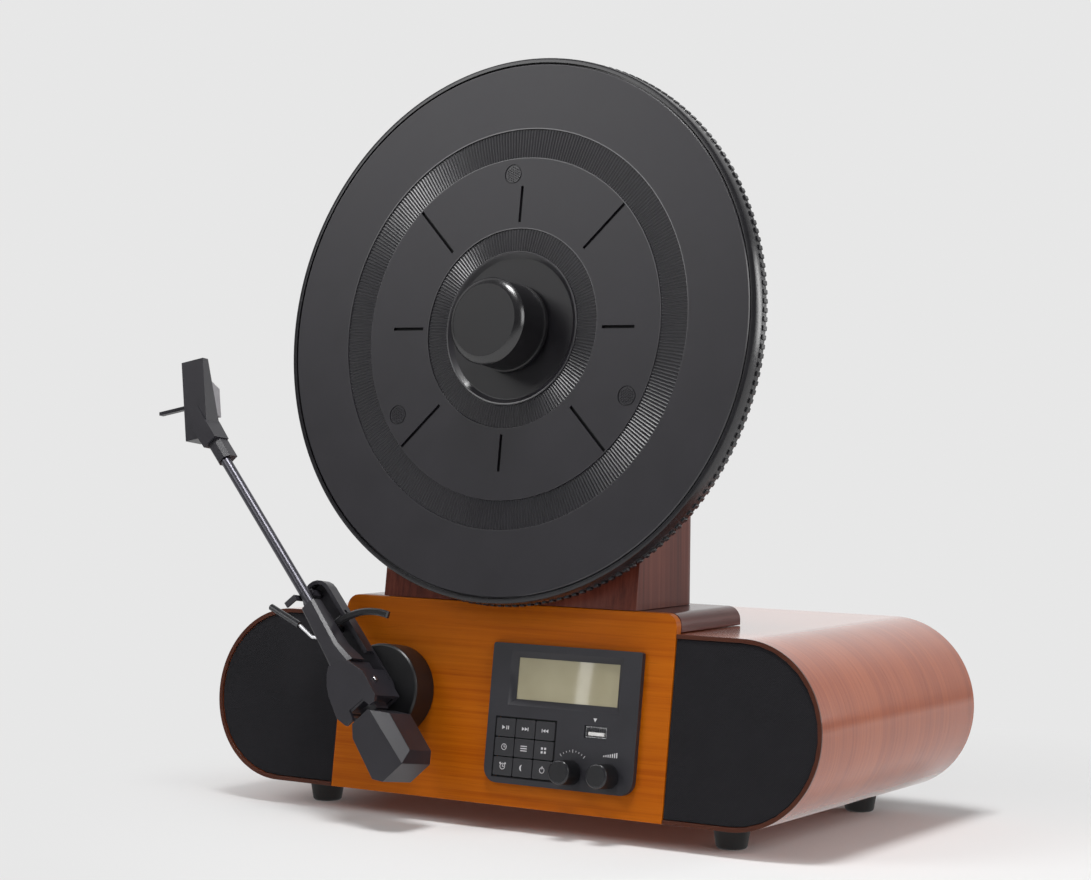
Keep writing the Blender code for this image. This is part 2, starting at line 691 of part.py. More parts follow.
def add_platter(turntable, metal):
    """The heavy disc: a raised lip in front and a band of teeth round the back of its rim."""
    smooth = PLATTER_RADIUS - RIM_TOOTH_DEPTH
    band_top = platter_back() + RIM_BAND_WIDTH
    lip = PLATTER_RADIUS - RIM_TOOTH_DEPTH - LIP_WIDTH
    profile = [
        (spindle_bore(), platter_back()), (PLATTER_RADIUS, platter_back()), (PLATTER_RADIUS, band_top),
        (smooth, band_top), (smooth, PLATTER_FRONT - LIP_ROUNDING), (smooth - LIP_ROUNDING, PLATTER_FRONT),
        (lip, PLATTER_FRONT), (lip, mat_seat()), (spindle_bore(), mat_seat()),
    ]
    platter = add("platter", turned(profile, PLATTER_STEPS), metal, turntable)
    pitch = math.tau / PLATTER_STEPS
    width = PLATTER_RADIUS * pitch * RIM_TOOTH_SHARE
    notches = []
    for tooth in range(PLATTER_STEPS):
        notch = block(
            (smooth + RIM_TOOTH_DEPTH * 0.15, PLATTER_RADIUS + CUT_OVERRUN), centred(0, width),
            (platter_back() - CUT_OVERRUN, band_top + CUT_OVERRUN),
        )
        notches.append(moved(notch, Matrix.Rotation((tooth + 0.5) * pitch, 4, "Z")))
    shape_with(platter, joined(*notches))


def ribbed_channel(radii, ribs):
    """A ring-shaped cutter whose underside zigzags, so that it leaves a channel floored with ribs."""
    top = PLATTER_FRONT + CUT_OVERRUN
    valley = PLATTER_FRONT - RIB_VALLEY
    crest = PLATTER_FRONT - RIB_CREST
    stations = 2 * ribs
    ring = turned([(radii[0], valley), (radii[1], valley), (radii[1], top), (radii[0], top)], stations)
    for vert in ring.verts:
        station = round(math.atan2(vert.co.y, vert.co.x) / math.tau * stations)
        if vert.co.z < crest and station % 2:
            vert.co.z = crest
    bmesh.ops.triangulate(ring, faces=ring.faces)
    return moved(ring, Matrix.Rotation(math.tau / stations / 3, 4, "Z"))


def radial_slot(span, angle):
    cutter = block(span, centred(0, SLOT_WIDTH), (PLATTER_FRONT - SLOT_DEPTH, PLATTER_FRONT + CUT_OVERRUN))
    return moved(cutter, Matrix.Rotation(angle, 4, "Z"))


def add_mat(turntable, rubber):
    """The mat: a sunken label area, two ribbed channels, eight slots and three round pads."""
    edge = PLATTER_RADIUS - RIM_TOOTH_DEPTH - LIP_WIDTH - MAT_EDGE_GAP
    bottom = PLATTER_FRONT - MAT_THICKNESS
    label = PLATTER_FRONT - LABEL_DEPTH
    profile = [
        (spindle_bore(), bottom), (edge, bottom), (edge, PLATTER_FRONT - MAT_EDGE_ROUNDING),
        (edge - MAT_EDGE_ROUNDING, PLATTER_FRONT), (LABEL_RADIUS, PLATTER_FRONT),
        (LABEL_RADIUS - LABEL_FILLET, label), (spindle_bore(), label),
    ]
    mat = add("platter_mat", turned(profile, PLATTER_STEPS), rubber, turntable)
    shape_with(mat, ribbed_channel(INNER_RIB_RANGE, INNER_RIBS))
    shape_with(mat, ribbed_channel(OUTER_RIB_RANGE, OUTER_RIBS))
    details = []
    for quarter in range(4):
        details.append(radial_slot(SHORT_SLOT_RANGE, quarter * math.tau / 4))
        details.append(radial_slot(LONG_SLOT_RANGE, (quarter + 0.5) * math.tau / 4))
    for third in range(3):
        angle = PAD_TURN + third * math.tau / 3
        middle = (PAD_PLACE_RADIUS * math.cos(angle), PAD_PLACE_RADIUS * math.sin(angle))
        circle = arc(middle, PAD_RADIUS, 0, math.tau * 19 / 20, 19)
        details.append(prism(circle, PLATTER_FRONT - PAD_DEPTH, PLATTER_FRONT + CUT_OVERRUN))
    shape_with(mat, joined(*details))


def add_drive(turntable, front, steel, plastic, rubber, brass):
    """Spindle, bearing, sub-platter, motor, pulley and the belt between them."""
    floor = BEARING_FLOOR - BEARING_DEPTH
    collar_top = SUB_PLATTER_BACK - TOUCH_GAP
    tip = SPINDLE_PIN_RADIUS / 3
    spindle = [(0, floor + TOUCH_GAP), (SPINDLE_RADIUS, floor + TOUCH_GAP), (SPINDLE_RADIUS, TOUCH_GAP)]
    spindle += [(SPINDLE_COLLAR_RADIUS, TOUCH_GAP), (SPINDLE_COLLAR_RADIUS, collar_top)]
    spindle += [(SPINDLE_RADIUS, collar_top), (SPINDLE_RADIUS, PLATTER_FRONT - LABEL_DEPTH)]
    spindle += [(SPINDLE_PIN_RADIUS, PLATTER_FRONT), (SPINDLE_PIN_RADIUS, SPINDLE_TIP - tip)]
    spindle += [(tip, SPINDLE_TIP), (0, SPINDLE_TIP)]
    add("spindle", turned(spindle, 24), steel, turntable)
    wall = TOWER_WALL + TOUCH_GAP
    flange = -wall - BEARING_FLANGE
    bearing = [(0, -BEARING_DEPTH), (BEARING_RADIUS, -BEARING_DEPTH), (BEARING_RADIUS, flange)]
    bearing += [(BEARING_FLANGE_RADIUS, flange), (BEARING_FLANGE_RADIUS, -wall)]
    bearing += [(BEARING_RADIUS, -wall), (BEARING_RADIUS, -TOUCH_GAP), (spindle_bore(), -TOUCH_GAP)]
    bearing += [(spindle_bore(), floor), (0, floor)]
    add("bearing_housing", turned(bearing, 24), brass, front, at=(0, PLATTER_CENTRE_UP, 0))
    rear, top = SUB_PLATTER_BACK, platter_back() - TOUCH_GAP
    middle = (rear + top) / 2
    groove = BELT_WIDTH / 2 + TOUCH_GAP
    rim = SUB_PLATTER_RADIUS + BELT_THICKNESS / 2
    hub = [(spindle_bore(), rear), (rim, rear), (rim, middle - groove), (SUB_PLATTER_RADIUS, middle - groove)]
    hub += [(SUB_PLATTER_RADIUS, middle + groove), (rim, middle + groove), (rim, top), (spindle_bore(), top)]
    add("sub_platter", turned(hub, 48), plastic, turntable)
    belt = prism(belt_outline(BELT_THICKNESS + TOUCH_GAP), middle - BELT_WIDTH / 2, middle + BELT_WIDTH / 2)
    loop = add("drive_belt", belt, rubber, front, at=(0, PLATTER_CENTRE_UP, 0))
    shape_with(loop, prism(belt_outline(TOUCH_GAP), rear - CUT_OVERRUN, top), at=(0, PLATTER_CENTRE_UP, 0))
    place = (*motor_place(), 0)
    nose = -TOUCH_GAP * 2
    bore = MOTOR_SHAFT_RADIUS + TOUCH_GAP
    motor = [(0, -wall - MOTOR_LENGTH), (MOTOR_RADIUS, -wall - MOTOR_LENGTH), (MOTOR_RADIUS, -wall)]
    motor += [(MOTOR_NOSE_RADIUS, -wall), (MOTOR_NOSE_RADIUS, nose), (bore, nose), (bore, -wall), (0, -wall)]
    add("motor", turned(motor, 24), steel, front, at=place)
    root = TOUCH_GAP - wall
    pulley = [(0, root), (MOTOR_SHAFT_RADIUS, root), (MOTOR_SHAFT_RADIUS, TOUCH_GAP)]
    pulley += [(PULLEY_RADIUS, TOUCH_GAP), (PULLEY_RADIUS, top), (0, top)]
    add("motor_pulley", turned(pulley, 24), brass, front, at=place)


def belt_outline(offset):
    """The open belt's outline round the sub-platter and the pulley, at an offset from both."""
    distance = math.hypot(MOTOR_X, MOTOR_BELOW)
    toward = math.atan2(-MOTOR_BELOW, MOTOR_X)
    big, small = SUB_PLATTER_RADIUS + offset, PULLEY_RADIUS + offset
    wrap = math.acos((big - small) / distance)
    outline = arc((0, 0), big, toward + wrap, toward + math.tau - wrap, 32)
    return outline + arc((MOTOR_X, -MOTOR_BELOW), small, toward - wrap, toward + wrap, 10)


def add_clamp(turntable, black):
    """The knob that presses the record to the mat."""
    seat = PLATTER_FRONT + TOUCH_GAP
    bore = SPINDLE_PIN_RADIUS + TOUCH_GAP
    chamfer = CLAMP_FRONT - CLAMP_CHAMFER
    profile = [(bore, seat), (CLAMP_FLANGE_RADIUS, seat), (CLAMP_FLANGE_RADIUS, seat + CLAMP_FLANGE_HEIGHT)]
    profile += [(CLAMP_RADIUS, seat + CLAMP_FLANGE_HEIGHT), (CLAMP_RADIUS, chamfer)]
    profile += [(CLAMP_RADIUS - CLAMP_CHAMFER / 3, chamfer + CLAMP_CHAMFER * 2 / 3)]
    profile += [(CLAMP_RADIUS - CLAMP_CHAMFER, CLAMP_FRONT), (0, CLAMP_FRONT)]
    profile += [(0, seat + CLAMP_BORE_DEPTH), (bore, seat + CLAMP_BORE_DEPTH)]
    add("record_clamp", turned_ring(profile, 40), black, turntable)


def turned_ring(profile, steps):
    """A body of revolution with a blind bore: the profile meets the axis in its middle."""
    bm = bmesh.new()
    points = [bm.verts.new((radius, 0, height)) for radius, height in profile]
    pairs = list(zip(points, points[1:])) + [(points[-1], points[0])]
    edges = [bm.edges.new(pair) for pair in pairs if pair[0].co.x or pair[1].co.x]
    bmesh.ops.spin(
        bm, geom=points + edges, cent=(0, 0, 0), axis=(0, 0, 1), angle=math.tau, steps=steps, use_merge=True
    )
    bmesh.ops.remove_doubles(bm, verts=bm.verts, dist=TOUCH_GAP / 100)
    return bm


def fascia_window(centre, size):
    """A straight window through the fascia."""
    spans = [centred(middle, side) for middle, side in zip(centre, size)]
    return block(spans[0], spans[1], (TOUCH_GAP - CUT_OVERRUN, TOUCH_GAP + FASCIA_THICKNESS + CUT_OVERRUN))


def key_block_size():
    return KEY_PITCH[0] * KEY_COLUMNS + KEY_GAP, KEY_PITCH[1] * KEY_ROWS + KEY_GAP


def add_fascia(front, black):
    """The dark control plate: a bevelled display window, the key window, a USB slot and shaft holes."""
    back, face = TOUCH_GAP, TOUCH_GAP + FASCIA_THICKNESS
    spans = [centred(middle, size) for middle, size in zip(FASCIA_CENTRE, FASCIA_SIZE)]
    outline = rounded_rectangle(spans[0], spans[1], FASCIA_LOWER_RADIUS, FASCIA_UPPER_RADIUS)
    fascia = add("control_fascia", prism(outline, back, face), black, front)
    reach = FASCIA_THICKNESS + 2 * CUT_OVERRUN
    slope = LCD_BEVEL / FASCIA_THICKNESS
    narrower, wider = 2 * slope * CUT_OVERRUN, 2 * slope * (reach - CUT_OVERRUN)
    low = [centred(middle, size - narrower) for middle, size in zip(LCD_CENTRE, LCD_VIEW)]
    high = [centred(middle, size + wider) for middle, size in zip(LCD_CENTRE, LCD_VIEW)]
    bevelled = loft(rectangle(*low, back - CUT_OVERRUN), rectangle(*high, back - CUT_OVERRUN + reach))
    keys = fascia_window(KEY_BLOCK_CENTRE, key_block_size())
    slot = fascia_window(USB_CENTRE, [side + 2 * TOUCH_GAP for side in USB_SIZE])
    holes = []
    for x in (TUNE_X, VOLUME_X):
        circle = arc((x, KNOB_UP), KNOB_STEM_RADIUS + TOUCH_GAP, 0, math.tau * 23 / 24, 23)
        holes.append(prism(circle, back - CUT_OVERRUN, face + CUT_OVERRUN))
    shape_with(fascia, joined(bevelled, keys, slot, *holes))


def add_keys(front, black):
    """Nine keys, flush with the fascia, each free to be pressed in."""
    size = [pitch - KEY_GAP for pitch in KEY_PITCH]
    face = TOUCH_GAP + FASCIA_THICKNESS + TOUCH_GAP
    for row in range(KEY_ROWS):
        for column in range(KEY_COLUMNS):
            x = KEY_BLOCK_CENTRE[0] + (column - (KEY_COLUMNS - 1) / 2) * KEY_PITCH[0]
            up = KEY_BLOCK_CENTRE[1] - (row - (KEY_ROWS - 1) / 2) * KEY_PITCH[1]
            spans = centred(0, size[0]), centred(0, size[1])
            outline = rounded_rectangle(*spans, KEY_ROUNDING, KEY_ROUNDING, 2)
            name = f"key_{row * KEY_COLUMNS + column + 1}"
            add(name, prism(outline, -KEY_THICKNESS, 0), black, front, at=(x, up, face))


def add_knobs(front, black, metal):
    """Tuning and volume knobs on their potentiometers."""
    base = TOUCH_GAP + FASCIA_THICKNESS + KNOB_LIFT
    cap = [(0, -KNOB_STEM_DEPTH), (KNOB_STEM_RADIUS, -KNOB_STEM_DEPTH), (KNOB_STEM_RADIUS, base)]
    cap += [(KNOB_RADIUS, base), (KNOB_RADIUS, KNOB_FRONT - KNOB_CHAMFER)]
    cap += [(KNOB_RADIUS - KNOB_CHAMFER, KNOB_FRONT), (0, KNOB_FRONT)]
    top = -KNOB_STEM_DEPTH - TOUCH_GAP
    bottom = board_front() + TOUCH_GAP
    pot = [(0, bottom), (POT_RADIUS, bottom), (POT_RADIUS, top), (0, top)]
    for name, x in (("tune", TUNE_X), ("volume", VOLUME_X)):
        add(f"{name}_knob", turned(cap, 32), black, front, at=(x, KNOB_UP, 0))
        add(f"{name}_pot", turned(pot, 20), metal, front, at=(x, KNOB_UP, 0))


def board_front():
    return BOARD_THICKNESS - BOARD_BACK


def add_display(front, glass, black, green):
    """The display's clear window and module, and the board behind the controls."""
    spans = [
        centred(middle, size + 2 * LCD_GLASS_MARGIN) for middle, size in zip(LCD_CENTRE, LCD_VIEW)
    ]
    add("lcd_window", block(spans[0], spans[1], (-LCD_GLASS_THICKNESS, 0)), glass, front)
    top = -LCD_GLASS_THICKNESS - TOUCH_GAP
    spans = [
        centred(middle, size + 2 * LCD_MODULE_MARGIN) for middle, size in zip(LCD_CENTRE, LCD_VIEW)
    ]
    add("lcd_module", block(spans[0], spans[1], (top - LCD_MODULE_THICKNESS, top)), black, front)
    spans = [
        centred(middle, size - 2 * BOARD_MARGIN) for middle, size in zip(FASCIA_CENTRE, FASCIA_SIZE)
    ]
    add("control_board", block(spans[0], spans[1], (-BOARD_BACK, board_front())), green, front)


def add_usb(front, metal):
    """The USB socket: a thin metal sleeve with its tongue, open in front."""
    bottom = board_front() + TOUCH_GAP
    top = bottom + USB_DEPTH
    spans = [centred(middle, size) for middle, size in zip(USB_CENTRE, USB_SIZE)]
    sleeve = add("usb_socket", block(spans[0], spans[1], (bottom, top)), metal, front)
    inner = [centred(middle, size - 2 * USB_WALL) for middle, size in zip(USB_CENTRE, USB_SIZE)]
    shape_with(sleeve, block(inner[0], inner[1], (bottom + 2 * USB_WALL, top + CUT_OVERRUN)))
    across = centred(USB_CENTRE[0], USB_TONGUE[0])
    upright = centred(USB_CENTRE[1] - USB_TONGUE_DROP, USB_TONGUE[1])
    shape_with(sleeve, block(across, upright, (bottom + USB_WALL, top - 2 * CUT_OVERRUN)), "UNION")


def plate_back():
    return ARM_BASE_HEIGHT + TOUCH_GAP


def plate_floor_top():
    return plate_back() + PLATE_FLOOR


def plate_outline(inset, start):
    """The rest plate's outline: half-round at its far end and, where it starts at the tail, there too."""
    half = PLATE_HALF_WIDTH - inset
    far = arc((PLATE_LENGTH - PLATE_HALF_WIDTH, 0), half, -math.pi / 2, math.pi / 2, 10)
    if start > 0:
        return far + [(start, half), (start, -half)]
    return far + arc((start + PLATE_HALF_WIDTH, 0), half, math.pi / 2, math.pi * 3 / 2, 10)


def yoke_bottom():
    return plate_floor_top() + RUNNING_GAP


def add_arm_base(front, black):
    """The round base on the front panel, with the bore that the arm's shaft turns in."""
    bore = YOKE_SHAFT_RADIUS + TOUCH_GAP
    floor = YOKE_SHAFT_END - TOUCH_GAP
    shoulder = ARM_BASE_HEIGHT - ARM_BASE_BEVEL
    profile = [(0, TOUCH_GAP), (ARM_BASE_RADIUS, TOUCH_GAP), (ARM_BASE_RADIUS, shoulder)]
    profile += [(ARM_BASE_RADIUS - ARM_BASE_BEVEL, ARM_BASE_HEIGHT), (bore, ARM_BASE_HEIGHT)]
    profile += [(bore, floor), (0, floor)]
    add("arm_base", turned(profile, 40), black, front, at=(ARM_X, ARM_UP, 0))


def add_rest_plate(arm, black):
    """The channel that lies along the parked arm and carries the rest clip, the lift and its lever."""
    low, high = plate_back(), plate_back() + PLATE_WALL_HEIGHT
    plate = add("arm_rest_plate", prism(plate_outline(0, -PLATE_TAIL), low, high), black, arm)
    pocket = prism(plate_outline(PLATE_WALL, PLATE_WALL_START), plate_floor_top(), high + CUT_OVERRUN)
    shape_with(plate, pocket)
    tail = block((-FAR / 10, PLATE_WALL_START + CUT_OVERRUN), centred(0, 4 * PLATE_HALF_WIDTH),
                 (plate_floor_top(), high + 2 * CUT_OVERRUN))
    shape_with(plate, tail)
    holes = []
    shaft, post = YOKE_SHAFT_RADIUS + 2 * TOUCH_GAP, LIFT_POST_RADIUS + TOUCH_GAP
    for place, radius in ((0, shaft), (LIFT_RADIUS, post)):
        circle = arc((place, 0), radius, 0, math.tau * 19 / 20, 19)
        holes.append(prism(circle, low - CUT_OVERRUN, plate_floor_top() + CUT_OVERRUN))
    circle = arc((0, 0), LEVER_ROD_RADIUS + TOUCH_GAP, 0, math.tau * 11 / 12, 11)
    across = prism(circle, -FAR / 10, FAR / 10)
    turn = Matrix.Rotation(math.pi / 2, 4, "X")
    holes.append(moved(across, Matrix.Translation((LEVER_PLACE, 0, LEVER_OUT)) @ turn))
    shape_with(plate, joined(*holes))


def add_clip(arm, black):
    """The rest clip: a hook, open toward the record, on a post from the channel's floor."""
    under = ARM_AXIS_OUT - TUBE_RADIUS - TUBE_FIT
    near = TUBE_RADIUS + TUBE_FIT * 2
    top = ARM_AXIS_OUT + CLIP_WALL_TOP
    section = [
        (-TUBE_RADIUS, under - CLIP_WALL), (near + CLIP_WALL, under - CLIP_WALL),
        (near + CLIP_WALL, top), (near + CLIP_WALL + CLIP_LIP, top + CLIP_WALL / 2),
        (near + CLIP_WALL + CLIP_LIP, top + CLIP_WALL * 3 / 2), (near, top + CLIP_WALL),
        (near, under), (-TUBE_RADIUS, under),
    ]
    along = Matrix(((0, 0, 1, 0), (1, 0, 0, 0), (0, 1, 0, 0), (0, 0, 0, 1)))
    ends = centred(CLIP_PLACE, CLIP_LENGTH)
    clip = add("arm_clip", moved(prism(section, ends[0], ends[1]), along), black, arm)
    post = block(centred(CLIP_PLACE, CLIP_POST[1]), centred(CLIP_WALL, CLIP_POST[0]),
                 (plate_floor_top() + TOUCH_GAP, under - CLIP_WALL / 2))
    shape_with(clip, post, "UNION")


def lift_top():
    return ARM_AXIS_OUT - TUBE_RADIUS - LIFT_CLEARANCE


def add_lift(arm, black):
    """The curved cue bar under the arm, on the post that raises it."""
    half = LIFT_BAR_WIDTH / 2
    outer = arc((0, 0), LIFT_RADIUS + half, LIFT_ARC_END, LIFT_ARC_START, 16)
    inner = arc((0, 0), LIFT_RADIUS - half, LIFT_ARC_START, LIFT_ARC_END, 16)
    low = lift_top() - LIFT_BAR_THICKNESS
    bar = prism(outer + inner, low, lift_top())
    long_edges = [edge for edge in bar.edges if abs(edge.verts[0].co.z - edge.verts[1].co.z) < TOUCH_GAP]
    bmesh.ops.bevel(bar, geom=long_edges, offset=LIFT_BAR_THICKNESS / 4, segments=1, profile=0.5,
                    affect="EDGES", material=-1)
    lift = add("lift_arc", bar, black, arm)
    circle = arc((LIFT_RADIUS, 0), LIFT_POST_RADIUS, 0, math.tau * 15 / 16, 15)
    ends = plate_back() - LIFT_POST_DROP, lift_top() - LIFT_BAR_THICKNESS / 2
    shape_with(lift, prism(circle, *ends), "UNION")


def add_lever(arm, steel, rubber):
    """The cue lever: a bent rod through both walls of the channel, with a sleeve on its end."""
    hinge = empty("cue_lever_axis", arm, at=(LEVER_PLACE, 0, LEVER_OUT))
    curve = bpy.data.curves.new("cue_lever", "CURVE")
    curve.dimensions = "3D"
    curve.bevel_depth = LEVER_ROD_RADIUS
    curve.bevel_resolution = 2
    curve.use_fill_caps = True
    points = [(LEVER_PLACE, -LEVER_INNER), LEVER_BEND, LEVER_ELBOW, LEVER_MIDDLE, LEVER_END]
    spline = curve.splines.new("POLY")
    spline.points.add(len(points) - 1)
    for point, (along, side) in zip(spline.points, points):
        point.co = (along - LEVER_PLACE, side, 0, 1)
    curve.materials.append(steel)
    rod = bpy.data.objects.new("cue_lever", curve)
    bpy.context.scene.collection.objects.link(rod)
    rod.parent = hinge
    run = Vector(LEVER_END) - Vector(LEVER_MIDDLE)
    bore = LEVER_ROD_RADIUS + TOUCH_GAP
    tip = TOUCH_GAP * 4
    length = LEVER_GRIP_LENGTH
    round_off = LEVER_GRIP_RADIUS / 4
    floor = run.length + tip
    sleeve = [(bore, 0), (LEVER_GRIP_RADIUS, 0), (LEVER_GRIP_RADIUS, length - round_off)]
    sleeve += [(LEVER_GRIP_RADIUS - round_off, length), (0, length), (0, floor), (bore, floor)]
    turn = (0, math.pi / 2, math.atan2(run.y, run.x))
    place = (LEVER_MIDDLE[0] - LEVER_PLACE, LEVER_MIDDLE[1], 0)
    add("cue_lever_grip", turned_ring(sleeve, 16), rubber, hinge, at=place, turn=turn)


def add_yoke(swing, black, steel):
    """The gimbal: a fork that turns on the base and holds the arm between its cheeks."""
    low = yoke_bottom()
    inner = YOKE_HALF_WIDTH - YOKE_CHEEK
    section = [
        (-YOKE_HALF_WIDTH, low), (YOKE_HALF_WIDTH, low), (YOKE_HALF_WIDTH, YOKE_TOP), (inner, YOKE_TOP),
        (inner, low + YOKE_BASE), (-inner, low + YOKE_BASE), (-inner, YOKE_TOP), (-YOKE_HALF_WIDTH, YOKE_TOP),
    ]
    along = Matrix(((0, 0, 1, 0), (1, 0, 0, 0), (0, 1, 0, 0), (0, 0, 0, 1)))
    yoke = add("gimbal_yoke", moved(prism(section, *YOKE_REACH), along), black, swing)
    circle = arc((0, 0), YOKE_SHAFT_RADIUS, 0, math.tau * 23 / 24, 23)
    shape_with(yoke, prism(circle, YOKE_SHAFT_END, low + YOKE_BASE / 2), "UNION")
    across = Matrix.Translation((-TILT_BACK, 0, ARM_AXIS_OUT)) @ Matrix.Rotation(math.pi / 2, 4, "X")
    hole = arc((0, 0), TILT_PIN_RADIUS + TOUCH_GAP, 0, math.tau * 15 / 16, 15)
    shape_with(yoke, moved(prism(hole, -FAR / 10, FAR / 10), across))
    outer = YOKE_HALF_WIDTH + TILT_PIN_HEAD
    pin = turned([(0, -outer), (TILT_PIN_RADIUS, -outer), (TILT_PIN_RADIUS, outer), (0, outer)], 16)
    add("tilt_pin", moved(pin, across), steel, swing)


def add_hub(tilt, black):
    """The block that tilts in the yoke, with its front cover and the rod for the counterweight."""
    half = YOKE_HALF_WIDTH - YOKE_CHEEK - HUB_SIDE_GAP
    back = HUB_BOTTOM - ARM_AXIS_OUT
    cover = [(a * CAP_LENGTH, q * CAP_WIDTH) for a, q in CAP_OUTLINE_SHARES]
    low, high = CAP_BACK - ARM_AXIS_OUT, CAP_FRONT - ARM_AXIS_OUT
    hub = add("arm_hub", prism(cover, low, high), black, tilt)
    reach = block((YOKE_REACH[0] + HUB_SIDE_GAP, HUB_FRONT), centred(0, 2 * half), (back, (low + high) / 2))
    shape_with(hub, reach, "UNION")
    hole = arc((0, 0), TILT_PIN_RADIUS + TOUCH_GAP, 0, math.tau * 15 / 16, 15)
    across = Matrix.Translation((-TILT_BACK, 0, 0)) @ Matrix.Rotation(math.pi / 2, 4, "X")
    shape_with(hub, moved(prism(hole, -FAR / 10, FAR / 10), across))
    side = centred(0, 2 * STEM_HALF_WIDTH)
    shape_with(hub, block((-STEM_BLOCK_END, -TILT_PIN_RADIUS * 3), side, side), "UNION")
    shape_with(hub, rod_along(STEM_ROD_RADIUS, -STEM_END, -STEM_BLOCK_END + STEM_ROD_RADIUS), "UNION")


def along_arm(bm):
    """Turns a body of revolution so that its axis runs along the arm."""
    return moved(bm, Matrix.Rotation(math.pi / 2, 4, "Y"))


def rod_along(radius, start, end, steps=20):
    circle = arc((0, 0), radius, 0, math.tau * (steps - 1) / steps, steps - 1)
    return along_arm(prism(circle, start, end))


def add_carrier_and_tube(tilt, black, gunmetal):
    """The tapering arm root that the tube is pressed into, and the tube."""
    start = HUB_FRONT + TOUCH_GAP
    bottom = -TUBE_RADIUS - TOUCH_GAP
    sections = []
    for place, (left, right), top in zip((start, CARRIER_MIDDLE, CARRIER_END), CARRIER_SIDES, CARRIER_TOPS):
        edge = (right - left) * 0.15
        sections.append([
            (place, left, bottom), (place, right, bottom), (place, right, top - edge),
            (place, right - edge, top), (place, left + edge, top), (place, left, top - edge),
        ])
    carrier = add("arm_carrier", loft(*sections), black, tilt)
    shape_with(carrier, rod_along(TUBE_RADIUS + TUBE_FIT, TUBE_START - TOUCH_GAP, CARRIER_END + CUT_OVERRUN))
    add("arm_tube", rod_along(TUBE_RADIUS, TUBE_START, TUBE_END), gunmetal, tilt)


def add_weight(tilt, black):
    """The counterweight, which slides on the rod behind the hub."""
    outline = [
        (-WEIGHT_START - along * WEIGHT_LENGTH, WEIGHT_SIDE + side * WEIGHT_WIDTH)
        for along, side in WEIGHT_OUTLINE_SHARES
    ]
    body = prism(outline, -WEIGHT_HALF_HEIGHT, WEIGHT_HALF_HEIGHT)
    edges = [
        edge for edge in body.edges
        if all(vert.co.y < WEIGHT_SIDE - WEIGHT_WIDTH * 0.4 and vert.co.z > 0 for vert in edge.verts)
    ]
    bmesh.ops.bevel(body, geom=edges, offset=WEIGHT_CHAMFER, segments=1, profile=0.5, affect="EDGES",
                    material=-1)
    weight = add("counterweight", body, black, tilt)
    bore = STEM_ROD_RADIUS + TOUCH_GAP
    shape_with(weight, rod_along(bore, -WEIGHT_BORE_END, CUT_OVERRUN - WEIGHT_START))


def add_head(tilt, black, steel, grey):
    """Headshell with its collar and finger lift, the cartridge in it and the stylus."""
    head = empty("head_frame", tilt, at=(*HEAD_CENTRE, 0), turn=(0, 0, HEAD_ANGLE))
    length, width = (centred(0, size) for size in HEAD_SIZE)
    ends = []
    for place, depth in zip(length, HEAD_DEPTHS):
        back = HEAD_FRONT - depth
        ends.append([(place, width[0], back), (place, width[1], back), (place, width[1], HEAD_FRONT),
                     (place, width[0], HEAD_FRONT)])
    shell = add("headshell", loft(*ends), black, head)
    sections = []
    for a, (left, right), back, rise in zip(NECK_STATIONS, NECK_SIDES, NECK_BACKS, NECK_FRONTS):
        sections.append([(a, left, -back), (a, right, -back), (a, right, rise), (a, left, rise)])
    shape_with(shell, loft(*sections), "UNION", parent=tilt)
    side, crown = SLEEVE_HALF_WIDTH, SLEEVE_HALF_WIDTH - SLEEVE_CHAMFER[0]
    shoulder = SLEEVE_FRONT - SLEEVE_CHAMFER[1]
    section = [(-side, -SLEEVE_BACK), (side, -SLEEVE_BACK), (side, shoulder), (crown, SLEEVE_FRONT),
               (-crown, SLEEVE_FRONT), (-side, shoulder)]
    ends = [[(a, q, m) for q, m in section] for a in (SLEEVE_START, SLEEVE_START + SLEEVE_LENGTH)]
    shape_with(shell, loft(*ends), "UNION", parent=tilt)
    inner_length, inner_width = (centred(0, size - 2 * HEAD_WALL) for size in HEAD_SIZE)
    rear = CARTRIDGE_FORWARD - CARTRIDGE_LENGTH / 2 - HEAD_WALL / 2
    cavity = block((rear, inner_length[1]), inner_width, (-HEAD_DEPTHS[0], HEAD_FRONT - HEAD_WALL))
    shape_with(shell, cavity)
    tube = rod_along(TUBE_RADIUS + TUBE_FIT, SLEEVE_START - CUT_OVERRUN, TUBE_END + TOUCH_GAP)
    shape_with(shell, tube, parent=tilt)
    wall = HEAD_SIZE[1] / 2
    reach = (wall - HEAD_WALL / 2, wall + FINGER_LENGTH)
    strip = block(centred(-FINGER_BACKWARD, FINGER_THICKNESS), reach, centred(FINGER_OUT, FINGER_WIDTH))
    shape_with(shell, strip, "UNION", parent=head)
    add_cartridge(head, grey, steel)


def head_back(place):
    """The back of the headshell's walls, at a place along it. They deepen towards the rear."""
    slope = (HEAD_DEPTHS[0] - HEAD_DEPTHS[1]) / HEAD_SIZE[0]
    return HEAD_FRONT - sum(HEAD_DEPTHS) / 2 + slope * place


